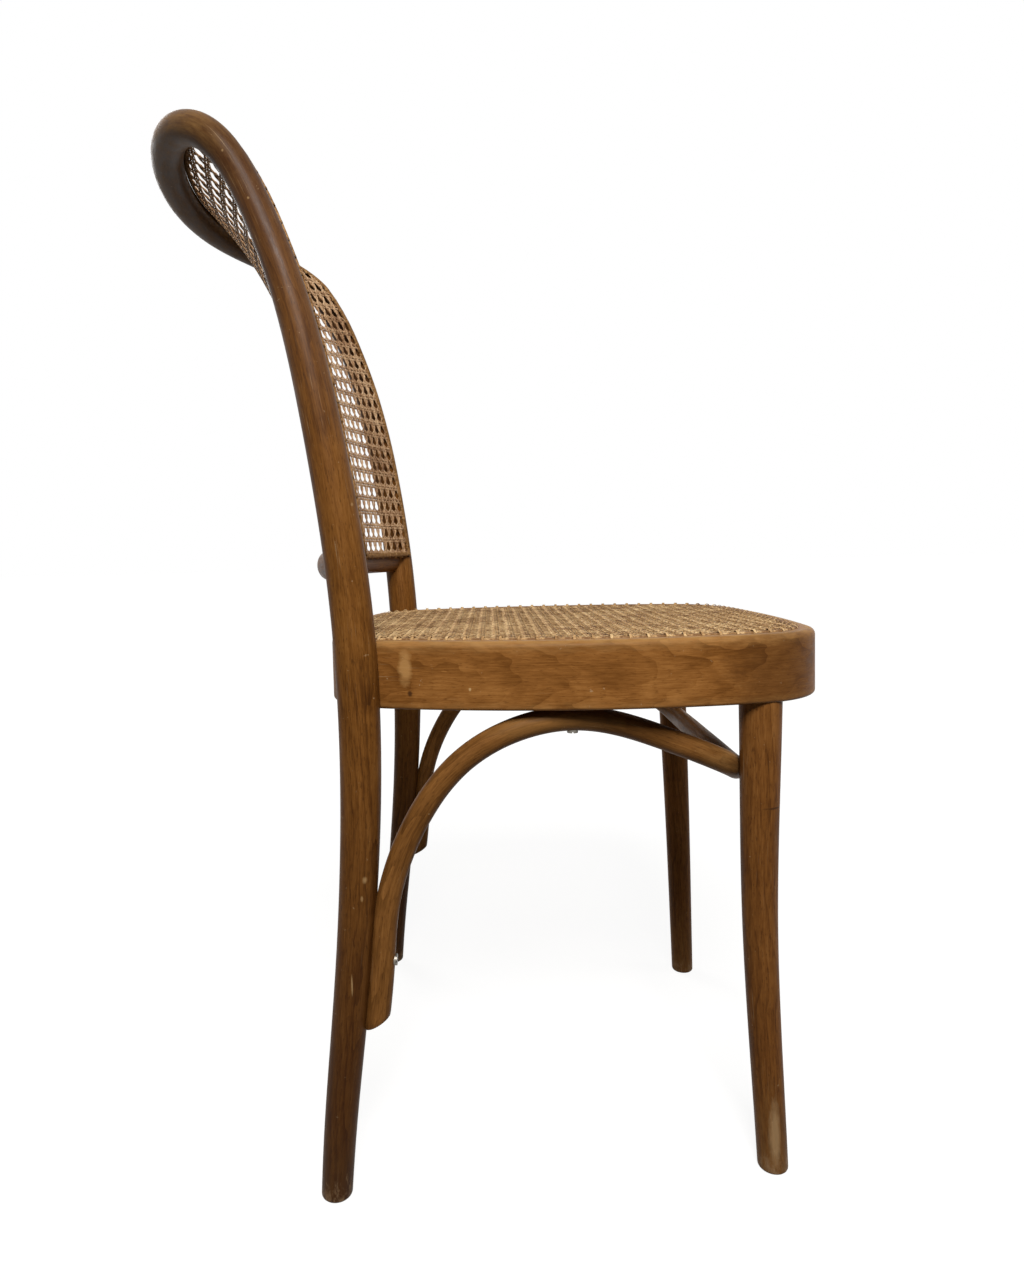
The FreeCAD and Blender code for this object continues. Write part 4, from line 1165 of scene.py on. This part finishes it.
def backRim(inset):
    # the sheet's outline in the flat layout, drawn inwards by the inset
    low = bottomPlace - inset / (hoop["shoulder"] + hoop["overrun"])
    places = np.linspace(low, -low, backSheet["rimSteps"])
    edge = edgePoint(places)
    flat = np.stack([edge[:, 0], edge @ backUp], axis=1)
    onwards = edgePoint(places - hoop["placeStep"]) - edgePoint(places + hoop["placeStep"])
    flat = flat + inset * leftOf(unit(np.stack([onwards[:, 0], onwards @ backUp], axis=1)))
    x = np.linspace(flat[-1, 0], flat[0, 0], backSheet["rimSteps"] // 2)[1:-1]
    foot = np.stack([x, bottomUpAt(x) + inset], axis=1)
    return np.vstack([flat, foot])


def makeWeaves():
    seatEdge = planPoints(ring["caneInset"] + weave["underBinding"], ring["step"])
    seatMiddle = np.array([0.0, 0.5 * (seatEdge[:, 1].min() + seatEdge[:, 1].max())])
    rim = backRim(weave["underBinding"])
    rimHeights = sheetPoint(rim[:, 0], rim[:, 1])[:, 2]
    backEdge = np.stack([rim[:, 0], rowAt(rim[:, 0], rimHeights)], axis=1)
    backMiddle = np.array([0.0, weave["backPairAt"]])
    for name, edge, middle, pitch, place, material, node in (
            ("seat", seatEdge, seatMiddle, weave["seatPitch"], onSeat, cane, "seat_cane"),
            ("back", backEdge, backMiddle, weave["backPitch"], onBackRows, backCane, "back_cane")):
        for kind in ("warp", "weft", "diagonal"):
            width = weave["diagonalWidth"] if kind == "diagonal" else weave["pairWidth"]
            strands = strandSet(kind, pitch, edge, middle)
            strandPiece("%s%sCane" % (name, kind.capitalize()), strands, width, material, place,
                        node if kind == "warp" else None)


makeWeaves()


# Binding: a domed cane strip over the strands' ends, tied down by short loops

binding = {
    "width": 5.0,
    "dome": ((-2.5, 0.25), (-1.9, 0.85), (-0.9, 1.15), (0.0, 1.2), (0.9, 1.15), (1.9, 0.85), (2.5, 0.25)),
    "seatSkirt": 0.5,        # how far the strip's sides go down
    "backSkirt": 1.6,
    # painted shade: the strip is darker between its raised loops
    "seatShadeBetweenLoops": 0.9,         # how much darker the strip is between its loops
    "backShadeBetweenLoops": 0.2,
    "backRaise": 0.7,
    "loopPitch": 14.7,
    "loopWidth": 3.0,
    "loopThickness": 0.6,
    "loopSpan": 7.6,
    "loopSink": 0.8,
    "loopSteps": 7,
    "loopSwing": 0.12,
    "swingSeed": 4,
    "loopTones": (0.3, 0.6),
    "seatRise": 2.9,
    "backRise": 1.5,
    "stripStep": 2.5,
}


def domedStrip(name, flat, place, node, material, shadeBetweenLoops, skirt):
    # a closed strip along a flat outline, domed on top, with painted shade as darker dashes between the loops
    count = len(flat)
    along = unit(np.roll(flat, -1, axis=0) - np.roll(flat, 1, axis=0))
    across = leftOf(along)
    edge = 0.5 * binding["width"]
    profile = [(-edge, -skirt), *binding["dome"], (edge, -skirt)]
    points = np.array([[*(flat[i] + across[i] * side), height] for i in range(count)
                       for side, height in profile])
    turn = 2 * math.pi * lengthsAlong(flat) / binding["loopPitch"]
    tone = np.repeat(0.5 - shadeBetweenLoops * np.clip(1 - 2 * np.cos(turn), 0, 1), len(profile))
    piece = meshPiece(name, inFrame(place(points)), ringFaces(count, len(profile), closedLoop=True),
                      {"strandTone": tone}, material)
    outwardFaces(piece)
    register(piece, node)


def loopTree(material):
    # short loops across a strip at even places along its middle line
    tree, source, path, keys = nodeGroup("bindingLoops", ("Spacing", "Span", "Rise", "Width", "Thickness"))
    spots = addNode(tree, "GeometryNodeCurveToPoints", {
        "Curve": path, "Length": (source, "Spacing")}, mode="LENGTH")
    ends = []
    for share in (-0.5, 0.5):
        side = addNode(tree, "ShaderNodeMath", ((source, "Span"), share), operation="MULTIPLY")
        ends.append(addNode(tree, "ShaderNodeCombineXYZ", (0.0, side, -binding["loopSink"] * millimetre)))
    crest = addNode(tree, "ShaderNodeMath", ((source, "Rise"), 2.0), operation="MULTIPLY")
    middle = addNode(tree, "ShaderNodeCombineXYZ", {"Z": crest})
    arch = addNode(tree, "GeometryNodeCurveQuadraticBezier", {
        "Resolution": binding["loopSteps"], "Start": ends[0], "Middle": middle, "End": ends[1]})
    aligned = addNode(tree, "FunctionNodeAlignRotationToVector", {"Vector": (spots, "Tangent")}, axis="X")
    swing = binding["loopSwing"]
    nudge = addNode(tree, "FunctionNodeRandomValue", {
        "Min": (0.0, 0.0, -swing), "Max": (0.0, 0.0, swing), "Seed": binding["swingSeed"]},
        data_type="FLOAT_VECTOR")
    swung = addNode(tree, "FunctionNodeEulerToRotation", (nudge,))
    turned = addNode(tree, "FunctionNodeRotateRotation", (aligned, swung), rotation_space="LOCAL")
    placed = addNode(tree, "GeometryNodeInstanceOnPoints", {
        "Points": spots, "Instance": ovalAlong(tree, source, arch), "Rotation": turned})
    closeGroup(tree, placed, material)
    return tree, keys


def loopPiece(name, flat, place, rise, material):
    count = len(flat)
    points = [(x * millimetre, y * millimetre, 0.0) for x, y in flat]
    edges = [(k, (k + 1) % count) for k in range(count)]
    low, spread = binding["loopTones"]
    tones = low + spread * rng.random(count)
    sizes = {"Spacing": binding["loopPitch"], "Span": binding["loopSpan"], "Rise": rise,
             "Width": binding["loopWidth"], "Thickness": binding["loopThickness"]}
    register(grownPiece(name, points, edges, tones, loopTree(material), sizes, place))


def onRingTop(points):
    return points + [0, 0, ring["top"]]


def onBackTop(points):
    return onBack(points + [0, 0, binding["backRaise"]])


seatStripMiddle = planPoints(ring["caneInset"] + 0.5 * binding["width"], binding["stripStep"])
backStripMiddle = backRim(0.5 * binding["width"])
domedStrip("seatBinding", seatStripMiddle, onRingTop, "seat_cane_binding", cane,
           binding["seatShadeBetweenLoops"], binding["seatSkirt"])
domedStrip("backBinding", backStripMiddle, onBackTop, "back_cane_binding", rimCane,
           binding["backShadeBetweenLoops"], binding["backSkirt"])
loopPiece("seatBindingLoops", seatStripMiddle, onRingTop, binding["seatRise"], cane)
loopPiece("backBindingLoops", backStripMiddle, onBackTop, binding["backRise"], rimCane)
print("bindings made")


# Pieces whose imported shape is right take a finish

for node, material in (("corner_block_left", plainBeech), ("corner_block_right", plainBeech),
                       ("stile_screws", screwSteel), ("stile_screw_washers", screwSteel),
                       ("corner_block_screws", screwSteel), ("brace_foot_screws", screwSteel),
                       ("brace_crest_screws", screwSteel), ("brace_leg_screws", screwSteel)):
    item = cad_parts[node]
    item.data.materials.clear()
    item.data.materials.append(material)


# Camera at the photograph's viewing angle, from the perspective fit

camera = {
    "place": (-0.87600, -0.012015, 0.52547),
    "yaw": 2.04,
    "pitch": 3.28,
    "roll": 1.40,
    "focal": 855.35,
    "centre": (461.12, 601.36),
    "image": (1024, 1280),
    "sensor": 36.0,
    "clipStart": 0.02,
}


def makeCamera():
    yaw, pitch, roll = (math.radians(camera[key]) for key in ("yaw", "pitch", "roll"))
    ahead = Vector((math.cos(yaw) * math.cos(pitch), math.sin(yaw) * math.cos(pitch), -math.sin(pitch)))
    right = Vector((math.sin(yaw), -math.cos(yaw), 0))
    down = ahead.cross(right)
    turnedRight = right * math.cos(roll) + down * math.sin(roll)
    turnedDown = down * math.cos(roll) - right * math.sin(roll)
    turn = Matrix((turnedRight, -turnedDown, -ahead)).transposed()
    data = bpy.data.cameras.new("photoCamera")
    item = bpy.data.objects.new("photoCamera", data)
    bpy.context.collection.objects.link(item)
    item.matrix_world = Matrix.Translation(Vector(camera["place"])) @ turn.to_4x4()
    width, height = camera["image"]
    data.sensor_fit = "AUTO"
    data.sensor_width = camera["sensor"]
    data.lens = camera["focal"] / height * camera["sensor"]
    data.shift_x = (0.5 * width - camera["centre"][0]) / height
    data.shift_y = (camera["centre"][1] - 0.5 * height) / height
    data.clip_start = camera["clipStart"]
    bpy.context.scene.camera = item


makeCamera()


# Stage: a pale floor, a white background and soft studio lamps

light = {
    "key": {"place": (-1.70, -0.12, 1.95), "aim": (0.0, 0.0, 0.45), "size": 0.7, "power": 68.0},
    "front": {"place": (-0.3, -2.3, 1.9), "aim": (0.0, 0.0, 0.6), "size": 0.8, "power": 9.0},
    "back": {"place": (1.9, 1.5, 1.9), "aim": (0.0, 0.0, 0.5), "size": 1.2, "power": 24.0},
    "world": 0.04,
    "floor": "#6f6d6a",      # what the object sees of the floor
    "floorSeen": 0.90,       # what the camera sees of it besides its own shading
    "floorRise": (0.5, 1.5), # metres from the origin over which that rises to white
    "floorReach": 30.0,
    "floorRoughness": 0.9,
}


def makeLamp(name, place, aim, size, power):
    data = bpy.data.lights.new(name, "AREA")
    data.shape = "SQUARE"
    data.size = size
    data.energy = power
    item = bpy.data.objects.new(name, data)
    item.location = place
    item.rotation_euler = (Vector(aim) - Vector(place)).to_track_quat("-Z", "Y").to_euler()
    bpy.context.collection.objects.link(item)


for lampName in ("key", "front", "back"):
    makeLamp(lampName + "Lamp", **light[lampName])


def seenDirectly(tree):
    # 1 for rays from the camera, off a shiny surface or through a clear one
    rays = addNode(tree, "ShaderNodeLightPath")
    seen = addNode(tree, "ShaderNodeMath", (
        (rays, "Is Camera Ray"), (rays, "Is Glossy Ray")), operation="ADD")
    return addNode(tree, "ShaderNodeMath", (seen, (rays, "Is Transmission Ray")), operation="ADD")


def makeWorld():
    world = bpy.data.worlds.new("studio")
    world.use_nodes = True
    tree = world.node_tree
    tree.nodes.clear()
    strength = addNode(tree, "ShaderNodeMapRange", (seenDirectly(tree), 0.0, 1.0, light["world"], 1.0))
    glow = addNode(tree, "ShaderNodeBackground", {"Color": hexColour("#ffffff"), "Strength": strength})
    addNode(tree, "ShaderNodeOutputWorld", {"Surface": glow})
    bpy.context.scene.world = world


makeWorld()


def makeFloor():
    # Pale matt paper: white to the camera, with the object's shadow kept
    material, tree = newMaterial("paleFloor")
    # the lamps fade with distance, so the paper's own white rises away from the object
    room = (addNode(tree, "ShaderNodeTexCoord"), "Object")
    away = addNode(tree, "ShaderNodeVectorMath", (room,), operation="LENGTH")
    white = addNode(tree, "ShaderNodeMapRange", (away, *light["floorRise"], light["floorSeen"], 1.0))
    closeMaterial(tree, {
        "Base Color": hexColour(light["floor"]),
        "Roughness": light["floorRoughness"],
        "Specular IOR Level": 0.0,
        "Emission Color": hexColour("#ffffff"),
        "Emission Strength": addNode(tree, "ShaderNodeMath", (
            seenDirectly(tree), white), operation="MULTIPLY")})
    reach = light["floorReach"]
    corners = [(-reach, -reach, 0), (reach, -reach, 0), (reach, reach, 0), (-reach, reach, 0)]
    meshPiece("floor", corners, [(0, 1, 2, 3)], None, material, smooth=False)


makeFloor()
bpy.context.scene.view_settings.view_transform = "Standard"
print("stage made")
